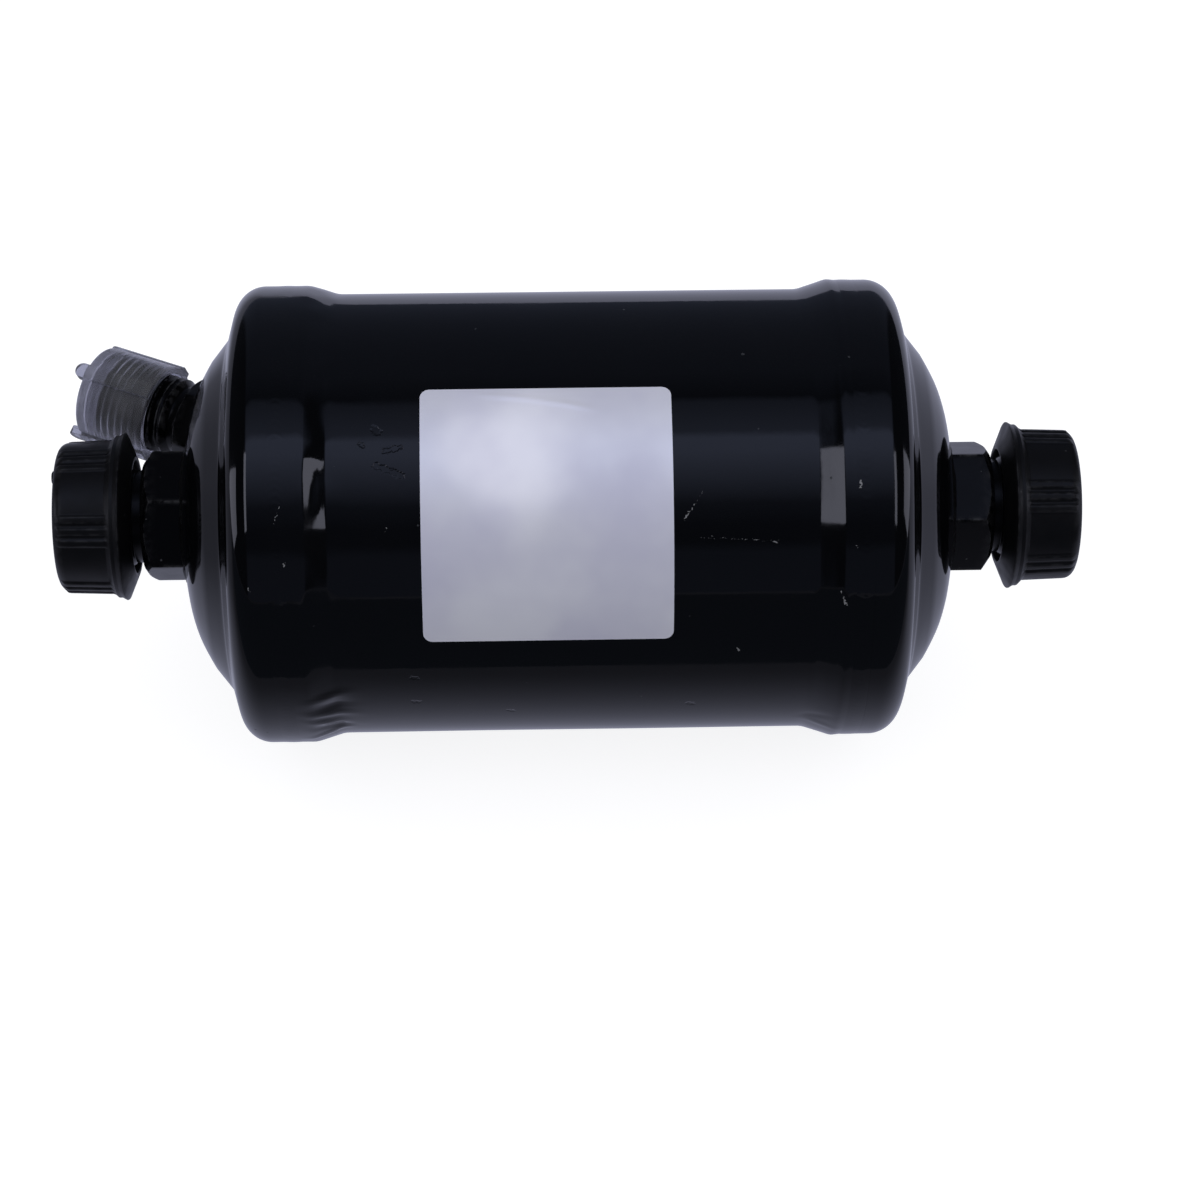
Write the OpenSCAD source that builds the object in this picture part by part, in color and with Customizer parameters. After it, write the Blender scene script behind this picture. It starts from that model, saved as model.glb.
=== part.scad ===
// Refrigeration oil separator: a welded steel can that lies along X.
// The outlet port is at +X; the inlet port and the oil return port are at -X.
// The origin is on the axis, half way along the can.

/* [Shell] */
// Outside diameter of the narrow middle of the shell
body_d = 76.2; // [66:0.1:100]
// Thickness of the shell and of the heads
wall = 2; // [1.5:0.1:2.6]
// Length of the narrow middle
waist_len = 77; // [72:0.5:140]
// Radial step from the middle up to the end bands
swage_rise = 1.5; // [0.5:0.1:3]
// Length of each sloping step
swage_len = 6.5; // [3:0.5:12]
// Straight length of the shell between its step and the weld
shell_lip = 1.5; // [1:0.1:8]

/* [Girth welds] */
// Width of the weld between the shell and a head
seam_w = 3; // [2:0.5:5]
// Height of the weld above the end band
seam_crown = 0.1; // [0.05:0.05:0.6]

/* [Heads] */
// Straight length of a head between the weld and its shoulder
skirt_len = 2.2; // [1:0.1:12]
// Outside radius of the shoulder
shoulder_r = 5; // [4:0.1:8]
// Slope of the sloping ring inside the shoulder, in degrees
ring_slope = 15; // [8:1:20]
// Radial width of the sloping ring
ring_w = 4.9; // [2:0.1:6]
// Outside radius of the spherical crown
crown_r = 52; // [46:1:120]

/* [Inlet and outlet ports] */
// Thread diameter
port_thread_d = 19.1; // [18:0.1:20.5]
// Thread length
port_thread_len = 9.4; // [7:0.1:14]
// Depth of the relief behind the thread
port_relief = 1.5; // [0.8:0.1:2]
// Length of the relief
port_neck_len = 3; // [1.5:0.1:5]
// Hexagon width across flats
port_hex_af = 20.6; // [20:0.1:24]
// Hexagon length
port_hex_len = 6; // [4:0.1:12]
// Gas passage diameter
port_bore_d = 10; // [7:0.1:11]
// Turn of the outlet hexagon about its axis, in degrees
outlet_hex_turn = 0; // [0:1:59]
// Turn of the inlet hexagon about its axis, in degrees
inlet_hex_turn = 24; // [0:1:59]

/* [Oil return port] */
// Place of this port on the way from the inlet bead to the edge of the crown, as a share
return_share = 0.55; // [0.52:0.01:0.58]
// Thread diameter
return_thread_d = 14.3; // [13:0.1:15.5]
// Thread length
return_thread_len = 13.3; // [10:0.1:16]
// Depth of the relief behind the thread
return_relief = 1.05; // [0.5:0.05:1.4]
// Length of the relief
return_neck_len = 2.5; // [1.5:0.1:5]
// Hexagon width across flats
return_hex_af = 15.9; // [14.5:0.1:18]
// Hexagon length
return_hex_len = 5.5; // [4:0.1:9]
// Oil passage diameter
return_bore_d = 4.4; // [3:0.1:5]
// Turn of the hexagon about its axis, in degrees
return_hex_turn = 45; // [0:1:59]

/* [Port details] */
// Chamfer at the start of a thread
thread_chamfer = 1; // [0.5:0.1:1.2]
// Chamfer angle of a hexagon, in degrees
hex_chamfer = 35; // [20:1:45]
// Reach of a spigot inside its head
spigot_reach = 4; // [3:0.1:8]
// Wall of a spigot round its socket
spigot_wall = 1.6; // [1:0.1:2]
// Width of the weld bead round a hexagon
bead_w = 1.2; // [0.8:0.1:2.5]
// Height of that bead up the hexagon
bead_h = 0.6; // [0.4:0.1:2.5]
// Cord diameter of a face seal ring
seal_cord = 1.78; // [1.5:0.01:1.9]
// Height of a seal ring above its face
seal_proud = 0.2; // [0.1:0.05:0.3]
// Play on each side of a seal ring in its groove
groove_play = 0.2; // [0.1:0.05:0.3]

/* [Black caps] */
// Barrel diameter
cap_d = 26.4; // [25:0.1:30]
// Overall length
cap_len = 13.2; // [11.8:0.1:18]
// Gap between the hexagon and the mouth of the cap
cap_gap = 1.5; // [0.3:0.1:2.2]
// Thickness of the closed end
cap_end_wall = 1.6; // [1:0.1:2]
// Height of the lip above the barrel
cap_lip_rise = 1.4; // [0.6:0.1:2]
// Height of the collar above the barrel
cap_collar_rise = 0.9; // [0.4:0.1:1.4]
// Width of the flat ring round the mouth
cap_mouth_w = 0.6; // [0.3:0.1:1.5]
// Length of the flared lip
cap_lip_len = 2.6; // [1.5:0.1:3]
// Length of the collar
cap_collar_len = 0.6; // [0.4:0.1:3]
// Loss of radius along the barrel
cap_draft = 0.25; // [0:0.05:0.5]
// Edge radius of the closed end
cap_edge_r = 1.8; // [0.6:0.1:2.2]
// Groups of grip ribs
rib_groups = 6; // [3:1:8]
// Ribs in each group
group_ribs = 3; // [1:1:3]
// Angle between the ribs of a group, in degrees
rib_pitch = 9; // [7:0.5:12]
// Width of a rib
rib_w = 1.3; // [0.8:0.1:1.5]
// Height of a rib above the barrel
rib_rise = 0.35; // [0.2:0.05:0.8]
// Turn of the outlet cap about its axis, in degrees
outlet_cap_turn = 42; // [0:1:59]
// Turn of the inlet cap about its axis, in degrees
inlet_cap_turn = 1; // [0:1:59]
// Diameter of the gate mark on the closed end
gate_d = 2.5; // [1:0.1:4]
// Height of the gate mark
gate_h = 0.6; // [0.2:0.1:1]
// Distance of the gate mark from the cap's axis
gate_off = 9; // [0:0.1:9.5]

/* [Oil return cap] */
// Barrel diameter
return_cap_d = 17.4; // [17:0.1:20]
// Overall length without the wings
return_cap_len = 13.8; // [13.2:0.1:18]
// Gap between the hexagon and the mouth of the cap
return_cap_gap = 5.2; // [3.5:0.1:5.5]
// Thickness of the closed end
return_cap_end_wall = 1.4; // [1:0.1:1.8]
// Edge radius of the closed end
return_cap_edge_r = 1; // [0.5:0.1:1.2]
// Number of wings
wings = 4; // [2:1:5]
// Width of a wing
wing_w = 2.8; // [1.5:0.1:4]
// Height of a wing above the barrel
wing_rise = 0.5; // [0.2:0.1:1]
// Reach of a wing past the closed end
wing_reach = 1.6; // [0.5:0.1:2.5]
// Turn of the cap about its axis, in degrees
return_cap_turn = 65; // [0:1:89]

/* [Label] */
// Length along the can
label_len = 41.2; // [20:0.1:60]
// Width round the can
label_w = 43.6; // [20:0.1:60]
// Film thickness
label_t = 0.15; // [0.1:0.05:0.3]
// Corner radius
label_corner = 1.6; // [0.5:0.1:4]
// Place of the label's middle along X
label_x = -3.9; // [-8:0.1:8]
// Angle that the label faces, above the horizontal, in degrees
label_angle = 41; // [0:1:90]

/* [Inside] */
// Standpipe diameter
standpipe_d = 12.7; // [12:0.1:14]
// Standpipe wall
standpipe_wall = 1; // [0.6:0.1:1.4]
// Clear height between the standpipe and the lower keeper ring
standpipe_drop = 4; // [2:0.5:12]
// Thickness of the plug in the standpipe
plug_t = 2; // [1:0.5:4]
// Side ports of the standpipe
side_ports = 6; // [3:1:8]
// Side port diameter
side_port_d = 4.5; // [3:0.1:5]
// Thickness of the mesh pad
pad_t = 25; // [15:0.5:30]
// Place of the pad's middle along X
pad_x = 14; // [8:0.5:16]
// Thickness of a screen
screen_t = 1.2; // [0.8:0.1:2]
// Hole diameter in a screen
screen_hole_d = 6; // [4:0.1:7]
// Hole pitch in a screen
screen_pitch = 9.6; // [8.5:0.1:12]
// Thickness of a keeper ring along X
keeper_t = 2.5; // [1.5:0.1:4]
// Radial width of a keeper ring
keeper_w = 2.6; // [1.5:0.1:4]
// Strainer diameter
strainer_d = 7; // [6.2:0.1:8]
// Strainer length
strainer_len = 12; // [10:0.1:16]
// Strainer wall
strainer_wall = 0.8; // [0.5:0.1:1]
// Drain hole diameter in the strainer
drain_d = 1.6; // [1:0.1:2]

/* [Fits] */
// Radial clearance of a piece that is brazed or pressed in
braze_gap = 0.1; // [0.05:0.05:0.2]
// Radial clearance between a thread and its cap
thread_gap = 0.3; // [0.25:0.05:0.5]

/* [Hidden] */
$fn = 96;

// Stations along the can, measured from its middle
waist_x = waist_len / 2;
swage_x = waist_x + swage_len;
shell_x = swage_x + shell_lip;
skirt_x = shell_x + seam_w;
shoulder_x = skirt_x + skirt_len;

// Radii of the can
body_r = body_d / 2;
bore_r = body_r - wall;
band_r = body_r + swage_rise;
shoulder_c = band_r - shoulder_r;

// Where the sloping ring leaves the shoulder, and where it meets the crown
ring_r = shoulder_c + shoulder_r * sin(ring_slope);
crease_r = ring_r - ring_w;
crease_x = shoulder_x + shoulder_r * cos(ring_slope) + ring_w * tan(ring_slope);
crown_x = crease_x - sqrt(pow(crown_r, 2) - pow(crease_r, 2));

// Oil return port: its distance from the axis of the can, and its angle to it
inlet_root_r = bead_root(port_hex_af);
return_off = inlet_root_r + return_share * (crease_r - inlet_root_r);
return_tilt = asin(return_off / crown_r);

// Spigots and where a hexagon sits on the crown
port_socket_r = standpipe_d / 2 + braze_gap;
port_spigot_r = port_socket_r + spigot_wall;
return_socket_r = strainer_d / 2 + braze_gap;
return_spigot_r = return_socket_r + spigot_wall;
port_seat = seat_height(port_spigot_r);
return_seat = max(seat_height(return_spigot_r), ring_height(corner_r(return_hex_af)) + braze_gap);

// Fitting and cap lengths, measured from the seat
port_face = port_hex_len + port_neck_len + port_thread_len;
return_face = return_hex_len + return_neck_len + return_thread_len;
seal_depth = seal_cord - seal_proud;
spigot_len = wall + spigot_reach;

// Stack of the pad, its screens and its keeper rings
pad_low = pad_x - pad_t / 2;
pad_high = pad_x + pad_t / 2;
lower_screen_x = pad_low - screen_t;
lower_keeper_x = lower_screen_x - keeper_t;
upper_keeper_x = pad_high + screen_t;
inner_r = bore_r - braze_gap;

// Standpipe ends, measured along the can
standpipe_low = -crown_x - port_seat + spigot_len - spigot_reach;
standpipe_high = lower_keeper_x - standpipe_drop;

// Height of the crown's surface above the crown's centre, at a radius from a port's axis
function seat_height(r) = sqrt(pow(crown_r, 2) - pow(r, 2));
function corner_r(af) = af / 2 / cos(30);
function bead_root(af) = corner_r(af) + bead_w;
function face_r(thread_d) = thread_d / 2 - thread_chamfer;
function seal_r(bore_d, thread_d) = (bore_d / 2 + face_r(thread_d)) / 2;
// Height along the oil return port at which a flat of that reach just meets the sloping ring
function ring_height(reach) =
    (crease_x - crown_x + crease_r * tan(ring_slope)
        + reach * (sin(return_tilt) - cos(return_tilt) * tan(ring_slope)))
    / (cos(return_tilt) + sin(return_tilt) * tan(ring_slope));

// Placements: local Z points out of the can
module along_can() {
    rotate([0, 90, 0]) children();
}

module at_outlet() {
    translate([crown_x + port_seat, 0, 0]) rotate([0, 90, 0]) children();
}

module at_inlet() {
    translate([-crown_x - port_seat, 0, 0]) rotate([0, -90, 0]) children();
}

module at_return() {
    translate([-crown_x, 0, 0])
        rotate([0, 0, 180 - return_tilt])
            rotate([0, 90, 0])
                translate([0, 0, return_seat]) children();
}

// Half section of a head, moved in from its outer face by inset
module dish_section(inset) {
    arc_r = shoulder_r - inset;
    ring_top = crease_x - inset / cos(ring_slope);
    translate([0, skirt_x - inset]) square([band_r - inset, shoulder_x - skirt_x + inset]);
    translate([shoulder_c, shoulder_x]) intersection() {
        circle(arc_r);
        square(arc_r);
    }
    polygon([
        [0, shoulder_x],
        [shoulder_c, shoulder_x],
        [shoulder_c + arc_r * sin(ring_slope), shoulder_x + arc_r * cos(ring_slope)],
        [crease_r, ring_top],
        [0, ring_top],
    ]);
    intersection() {
        translate([0, crown_x]) circle(crown_r - inset);
        translate([0, shoulder_x]) square([crease_r, crown_r]);
    }
}

module head_blank() {
    rotate_extrude() difference() {
        dish_section(0);
        dish_section(wall);
    }
}

module girth_seam() {
    arc_r = (pow(seam_w / 2, 2) + pow(seam_crown, 2)) / (2 * seam_crown);
    rotate_extrude() {
        translate([band_r - wall, 0]) square([wall, seam_w]);
        intersection() {
            translate([band_r + seam_crown - arc_r, seam_w / 2]) circle(arc_r);
            translate([band_r - wall / 2, 0]) square([wall, seam_w]);
        }
    }
}

// Hexagon with its outer corners turned back to a cone that starts on the flat end face
module hexagon(af, len, turn) {
    flat = af / 2 - thread_chamfer;
    blank_r = corner_r(af) + thread_chamfer;
    intersection() {
        rotate(turn) cylinder(r = corner_r(af), h = len, $fn = 6);
        rotate_extrude() polygon([
            [0, 0],
            [blank_r, 0],
            [blank_r, len - (blank_r - flat) * tan(hex_chamfer)],
            [flat, len],
            [0, len],
        ]);
    }
}

// Turned fitting: spigot with a socket, hexagon, relief, thread and a grooved face
module port_fitting(af, hex_len, turn, neck_len, relief, thread_d, thread_len, bore_d, socket_r) {
    thread_r = thread_d / 2;
    face_z = hex_len + neck_len + thread_len;
    groove_r = seal_r(bore_d, thread_d);
    groove_half = seal_cord / 2 + groove_play;
    difference() {
        union() {
            hexagon(af, hex_len, turn);
            rotate_extrude() polygon([
                [0, -spigot_len],
                [socket_r + spigot_wall, -spigot_len],
                [socket_r + spigot_wall, hex_len / 2],
                [thread_r - relief, hex_len / 2],
                [thread_r - relief, hex_len + neck_len - relief],
                [thread_r, hex_len + neck_len],
                [thread_r, face_z - thread_chamfer],
                [thread_r - thread_chamfer, face_z],
                [0, face_z],
            ]);
        }
        translate([0, 0, -spigot_len - wall])
            cylinder(d = bore_d, h = spigot_len + face_z + 2 * wall);
        translate([0, 0, -spigot_len - wall])
            cylinder(r = socket_r, h = spigot_reach + wall);
        translate([0, 0, face_z - seal_depth]) difference() {
            cylinder(r = groove_r + groove_half, h = seal_cord);
            translate([0, 0, -seal_cord]) cylinder(r = groove_r - groove_half, h = 3 * seal_cord);
        }
    }
}

module main_fitting(turn) {
    port_fitting(port_hex_af, port_hex_len, turn, port_neck_len, port_relief,
                 port_thread_d, port_thread_len, port_bore_d, port_socket_r);
}

// Bead that fills the corner between a hexagon and the crown
module port_bead(af, hex_len, turn, seat) {
    corner = corner_r(af);
    root = bead_root(af);
    foot = seat_height(root) - seat - wall;
    difference() {
        rotate_extrude() difference() {
            polygon([
                [af / 2 - bead_w, foot],
                [root, foot],
                [root - bead_w / 3, bead_h / 2],
                [corner + bead_w / 4, bead_h],
                [af / 2 - bead_w, bead_h],
            ]);
            translate([0, -seat]) circle(crown_r, $fn = 720);
        }
        rotate(turn) cylinder(r = corner, h = hex_len, $fn = 6);
    }
}

module port_seal(bore_d, thread_d, face_z) {
    translate([0, 0, face_z - seal_depth + seal_cord / 2])
        rotate_extrude() translate([seal_r(bore_d, thread_d), 0]) circle(d = seal_cord);
}

// Half section of a black cap: coned mouth, lip, collar and barrel, open at z = 0
module cap_section() {
    barrel_r = cap_d / 2;
    end_r = barrel_r - cap_draft;
    lip_z = cap_lip_len * 2 / 3;
    collar_z = cap_lip_len + cap_collar_len;
    thread_r = port_thread_d / 2 + thread_gap;
    difference() {
        union() {
            polygon([
                [0, 0],
                [thread_r + cap_mouth_w, 0],
                [barrel_r + cap_lip_rise, lip_z],
                [barrel_r + cap_collar_rise, cap_lip_len],
                [barrel_r + cap_collar_rise, collar_z],
                [barrel_r, collar_z + cap_collar_rise],
                [end_r, cap_len - cap_edge_r],
                [end_r - cap_edge_r, cap_len - cap_edge_r],
                [end_r - cap_edge_r, cap_len],
                [0, cap_len],
            ]);
            translate([end_r - cap_edge_r, cap_len - cap_edge_r]) circle(cap_edge_r);
        }
        translate([0, -wall]) square([thread_r, cap_len - cap_end_wall + wall]);
    }
}

module black_cap(turn) {
    rib_start = cap_lip_len + cap_collar_len;
    rib_len = cap_len - cap_edge_r - rib_start;
    rib_depth = cap_draft + cap_end_wall / 2;
    translate([0, 0, port_hex_len + cap_gap]) rotate(turn) {
        rotate_extrude() cap_section();
        for (group = [0 : rib_groups - 1], rib = [0 : group_ribs - 1])
            rotate(group * 360 / rib_groups + (rib - (group_ribs - 1) / 2) * rib_pitch)
                translate([cap_d / 2 - rib_depth, -rib_w / 2, rib_start])
                    cube([rib_depth + rib_rise, rib_w, rib_len]);
        translate([gate_off, 0, cap_len - cap_end_wall / 2])
            cylinder(d = gate_d, h = cap_end_wall / 2 + gate_h);
    }
}

// Half section of the oil return cap, open at z = 0
module return_cap_section() {
    barrel_r = return_cap_d / 2;
    edge = return_cap_edge_r;
    difference() {
        union() {
            square([barrel_r, return_cap_len - edge]);
            square([barrel_r - edge, return_cap_len]);
            translate([barrel_r - edge, return_cap_len - edge]) circle(edge);
        }
        translate([0, -wall])
            square([return_thread_d / 2 + thread_gap, return_cap_len - return_cap_end_wall + wall]);
    }
}

// Wing: a flat bar along the barrel with a round end, drawn in the plane that faces outwards
module wing() {
    bar_len = return_cap_len + wing_reach - wing_w / 2;
    wing_t = return_cap_end_wall * 0.7 + wing_rise;
    translate([return_cap_d / 2 + wing_rise - wing_t, 0, 0])
        rotate([90, 0, 90]) linear_extrude(wing_t) {
            translate([-wing_w / 2, 0]) square([wing_w, bar_len]);
            translate([0, bar_len]) circle(d = wing_w);
        }
}

module keeper_ring(x) {
    translate([x, 0, 0]) along_can() difference() {
        cylinder(r = inner_r, h = keeper_t);
        translate([0, 0, -keeper_t]) cylinder(r = inner_r - keeper_w, h = 3 * keeper_t);
    }
}

// Perforated disc with its holes on rings of six, twelve and so on
module screen(x) {
    hole_r = screen_hole_d / 2;
    hole_rings = floor((inner_r - keeper_w - hole_r) / screen_pitch);
    translate([x, 0, 0]) along_can() difference() {
        cylinder(r = inner_r, h = screen_t);
        for (ring = [0 : hole_rings], hole = [0 : max(1, 6 * ring) - 1])
            rotate(hole * 60 / max(1, ring))
                translate([ring * screen_pitch, 0, -screen_t])
                    cylinder(r = hole_r, h = 3 * screen_t);
    }
}

// Can
module shell_tube() {
    color("#17181b") along_can() rotate_extrude() polygon([
        [band_r, -shell_x],
        [band_r, -swage_x],
        [body_r, -waist_x],
        [body_r, waist_x],
        [band_r, swage_x],
        [band_r, shell_x],
        [band_r - wall, shell_x],
        [band_r - wall, swage_x],
        [bore_r, waist_x],
        [bore_r, -waist_x],
        [band_r - wall, -swage_x],
        [band_r - wall, -shell_x],
    ]);
}

module outlet_head() {
    color("#17181b") difference() {
        along_can() head_blank();
        at_outlet() translate([0, 0, -spigot_len])
            cylinder(r = port_spigot_r + braze_gap, h = 2 * spigot_len);
    }
}

module inlet_head() {
    color("#17181b") difference() {
        mirror([1, 0, 0]) along_can() head_blank();
        at_inlet() translate([0, 0, -spigot_len])
            cylinder(r = port_spigot_r + braze_gap, h = 2 * spigot_len);
        at_return() translate([0, 0, -spigot_len])
            cylinder(r = return_spigot_r + braze_gap, h = 2 * spigot_len);
    }
}

module outlet_girth_weld() {
    color("#1b1c20") translate([shell_x, 0, 0]) along_can() girth_seam();
}

module inlet_girth_weld() {
    color("#1b1c20") mirror([1, 0, 0]) translate([shell_x, 0, 0]) along_can() girth_seam();
}

// Ports
module outlet_fitting() {
    color("#1a1b1e") at_outlet() main_fitting(outlet_hex_turn);
}

module inlet_fitting() {
    color("#1a1b1e") at_inlet() main_fitting(inlet_hex_turn);
}

module oil_return_fitting() {
    color("#1a1b1e") at_return()
        port_fitting(return_hex_af, return_hex_len, return_hex_turn, return_neck_len, return_relief,
                     return_thread_d, return_thread_len, return_bore_d, return_socket_r);
}

module outlet_bead() {
    color("#101114") at_outlet() port_bead(port_hex_af, port_hex_len, outlet_hex_turn, port_seat);
}

module inlet_bead() {
    color("#101114") at_inlet() port_bead(port_hex_af, port_hex_len, inlet_hex_turn, port_seat);
}

// This bead lies partly on the sloping ring, and stops at the inlet bead
module oil_return_bead() {
    fall = crease_x - shoulder_x;
    color("#101114") difference() {
        at_return() port_bead(return_hex_af, return_hex_len, return_hex_turn, return_seat);
        translate([-shoulder_x, 0, 0]) rotate([0, -90, 0])
            cylinder(r1 = crease_r + fall / tan(ring_slope), r2 = crease_r - wall / tan(ring_slope),
                     h = fall + wall, $fn = 720);
        at_inlet() translate([0, 0, -spigot_len])
            cylinder(r = inlet_root_r + braze_gap, h = 2 * spigot_len);
    }
}

module outlet_seal() {
    color("#222222") at_outlet() port_seal(port_bore_d, port_thread_d, port_face);
}

module inlet_seal() {
    color("#222222") at_inlet() port_seal(port_bore_d, port_thread_d, port_face);
}

module oil_return_seal() {
    color("#222222") at_return() port_seal(return_bore_d, return_thread_d, return_face);
}

// Caps
module outlet_cap() {
    color("#2a2a2e") at_outlet() black_cap(outlet_cap_turn);
}

module inlet_cap() {
    color("#2a2a2e") at_inlet() black_cap(inlet_cap_turn);
}

module oil_return_cap() {
    color("#c9cdd4") at_return()
        translate([0, 0, return_hex_len + return_cap_gap]) rotate(return_cap_turn) {
            rotate_extrude() return_cap_section();
            for (i = [0 : wings - 1]) rotate(i * 360 / wings) wing();
        }
}

// Film on the shell, cut to a rounded rectangle
module label() {
    half_turn = label_w / body_r * 90 / PI;
    half_chord = body_r * sin(half_turn);
    color("#b9bdc4") intersection() {
        along_can() difference() {
            translate([0, 0, -label_len]) cylinder(r = body_r + label_t, h = 2 * label_len);
            translate([0, 0, -2 * label_len]) cylinder(r = body_r, h = 4 * label_len);
        }
        rotate([90 - label_angle, 0, 0]) translate([label_x, 0, 0])
            linear_extrude(body_d) rounded_plate(label_len, 2 * half_chord, label_corner);
    }
}

module rounded_plate(len, w, corner) {
    square([len - 2 * corner, w], center = true);
    square([len, w - 2 * corner], center = true);
    for (sx = [-1, 1], sy = [-1, 1])
        translate([sx * (len / 2 - corner), sy * (w / 2 - corner)]) circle(corner);
}

// Inside
module inlet_standpipe() {
    pipe_len = standpipe_high - standpipe_low;
    port_z = pipe_len - plug_t - side_port_d;
    color("#9a9da2") translate([standpipe_low, 0, 0]) along_can() difference() {
        cylinder(d = standpipe_d, h = pipe_len);
        translate([0, 0, -wall]) cylinder(d = standpipe_d - 2 * standpipe_wall, h = pipe_len + 2 * wall);
        for (i = [0 : side_ports - 1])
            rotate(i * 360 / side_ports) translate([standpipe_d / 2 - 1.5 * standpipe_wall, 0, port_z])
                rotate([0, 90, 0]) cylinder(d = side_port_d, h = standpipe_d);
    }
}

module standpipe_plug() {
    color("#8d9096") translate([standpipe_high - plug_t, 0, 0]) along_can()
        cylinder(r = standpipe_d / 2 - standpipe_wall - braze_gap, h = plug_t);
}

module lower_screen() {
    color("#a5a8ad") screen(lower_screen_x);
}

module mesh_pad() {
    color("#8b8e94") translate([pad_low, 0, 0]) along_can() cylinder(r = inner_r, h = pad_t);
}

module upper_screen() {
    color("#a5a8ad") screen(pad_high);
}

module lower_keeper() {
    color("#8d9096") keeper_ring(lower_keeper_x);
}

module upper_keeper() {
    color("#8d9096") keeper_ring(upper_keeper_x);
}

// Closed thimble in the socket of the oil return spigot, with rows of drain holes
module oil_strainer() {
    core_r = strainer_d / 2 - strainer_wall;
    color("#a5a8ad") at_return() translate([0, 0, -wall]) rotate([180, 0, 0]) difference() {
        cylinder(d = strainer_d, h = strainer_len);
        translate([0, 0, -strainer_wall]) cylinder(r = core_r, h = strainer_len);
        for (row = [1 : 3], i = [0 : 5])
            rotate(i * 60 + row * 30)
                translate([core_r - strainer_wall / 2, 0, spigot_reach + row * 1.2 * drain_d])
                    rotate([0, 90, 0]) cylinder(d = drain_d, h = strainer_d);
    }
}

shell_tube();
outlet_head();
inlet_head();
outlet_girth_weld();
inlet_girth_weld();
outlet_fitting();
inlet_fitting();
oil_return_fitting();
outlet_bead();
inlet_bead();
oil_return_bead();
outlet_seal();
inlet_seal();
oil_return_seal();
outlet_cap();
inlet_cap();
oil_return_cap();
label();
inlet_standpipe();
standpipe_plug();
lower_screen();
mesh_pad();
upper_screen();
lower_keeper();
upper_keeper();
oil_strainer();
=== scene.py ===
from math import acos, ceil, cos, exp, floor, pi, radians, sin, sqrt, tan

import bmesh
import bpy
from mathutils import Matrix, Vector, noise


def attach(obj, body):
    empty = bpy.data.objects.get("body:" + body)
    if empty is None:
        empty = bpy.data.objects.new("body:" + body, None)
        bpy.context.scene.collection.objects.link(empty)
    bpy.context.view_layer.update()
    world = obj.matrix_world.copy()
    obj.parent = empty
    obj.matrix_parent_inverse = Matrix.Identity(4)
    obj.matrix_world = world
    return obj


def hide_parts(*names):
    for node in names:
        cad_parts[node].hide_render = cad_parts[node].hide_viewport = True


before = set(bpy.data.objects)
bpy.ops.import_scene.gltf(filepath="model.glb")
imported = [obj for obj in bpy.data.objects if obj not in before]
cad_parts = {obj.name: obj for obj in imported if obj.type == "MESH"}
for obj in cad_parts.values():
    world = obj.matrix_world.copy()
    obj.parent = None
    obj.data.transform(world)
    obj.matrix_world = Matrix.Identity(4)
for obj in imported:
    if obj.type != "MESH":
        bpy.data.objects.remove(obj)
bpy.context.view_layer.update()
scene = bpy.context.scene
scene.view_settings.view_transform = "Standard"
mm = 0.001
print("frame loaded")


# places: local z points out of the can, sizes in mm
def placeAt(origin, xAxis, yAxis, zAxis):
    place = Matrix((xAxis, yAxis, zAxis)).transposed().to_4x4()
    place.translation = Vector(origin)
    return place


returnTilt = radians(26.17604)
canPlace = placeAt((0, 0, 0), (0, 0, -1), (0, 1, 0), (1, 0, 0))
headPlaces = {
    "outlet": canPlace,
    "inlet": placeAt((0, 0, 0), (0, 0, 1), (0, 1, 0), (-1, 0, 0)),
}
portPlaces = {
    "outlet": placeAt((67.4621, 0, 0), (0, 0, -1), (0, 1, 0), (1, 0, 0)),
    "inlet": placeAt((-67.4621, 0, 0), (0, 0, 1), (0, 1, 0), (-1, 0, 0)),
    "oilReturn": placeAt(
        (-62.5221, 22.8238, 0),
        (0, 0, -1),
        (-sin(returnTilt), -cos(returnTilt), 0),
        (-cos(returnTilt), sin(returnTilt), 0),
    ),
}


# mesh tools
def roundedPath(corners, arcSteps=4):
    path = []
    for index, (radius, height, fillet) in enumerate(corners):
        here = Vector((radius, height))
        if fillet <= 0 or index in (0, len(corners) - 1):
            path.append(here)
            continue
        back = (Vector(corners[index - 1][:2]) - here).normalized()
        ahead = (Vector(corners[index + 1][:2]) - here).normalized()
        half = acos(max(-1, min(1, back.dot(ahead)))) / 2
        centre = here + (back + ahead).normalized() * fillet / sin(half)
        start = here + back * fillet / tan(half) - centre
        end = here + ahead * fillet / tan(half) - centre
        sweep = start.angle_signed(end)
        for step in range(arcSteps + 1):
            turn = -sweep * step / arcSteps
            path.append(centre + Matrix.Rotation(turn, 2) @ start)
    return path


def finePath(path, longest):
    fine = []
    for here, ahead in zip(path, path[1:]):
        parts = max(1, ceil((ahead - here).length / longest))
        fine += [here.lerp(ahead, part / parts) for part in range(parts)]
    return fine + [path[-1]]


def turnedMesh(place, steps, pathAt, closed=True, turn=0.0):
    verts = []
    for step in range(steps):
        angle = turn + 2 * pi * step / steps
        path = pathAt(angle)
        verts += [place @ Vector((r * cos(angle), r * sin(angle), h)) * mm for r, h in path]
    count = len(path)
    rows = range(count if closed else count - 1)
    faces = []
    for step in range(steps):
        here, ahead = step * count, (step + 1) % steps * count
        for row in rows:
            above = (row + 1) % count
            faces.append((here + row, ahead + row, ahead + above, here + above))
    return verts, faces


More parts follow.
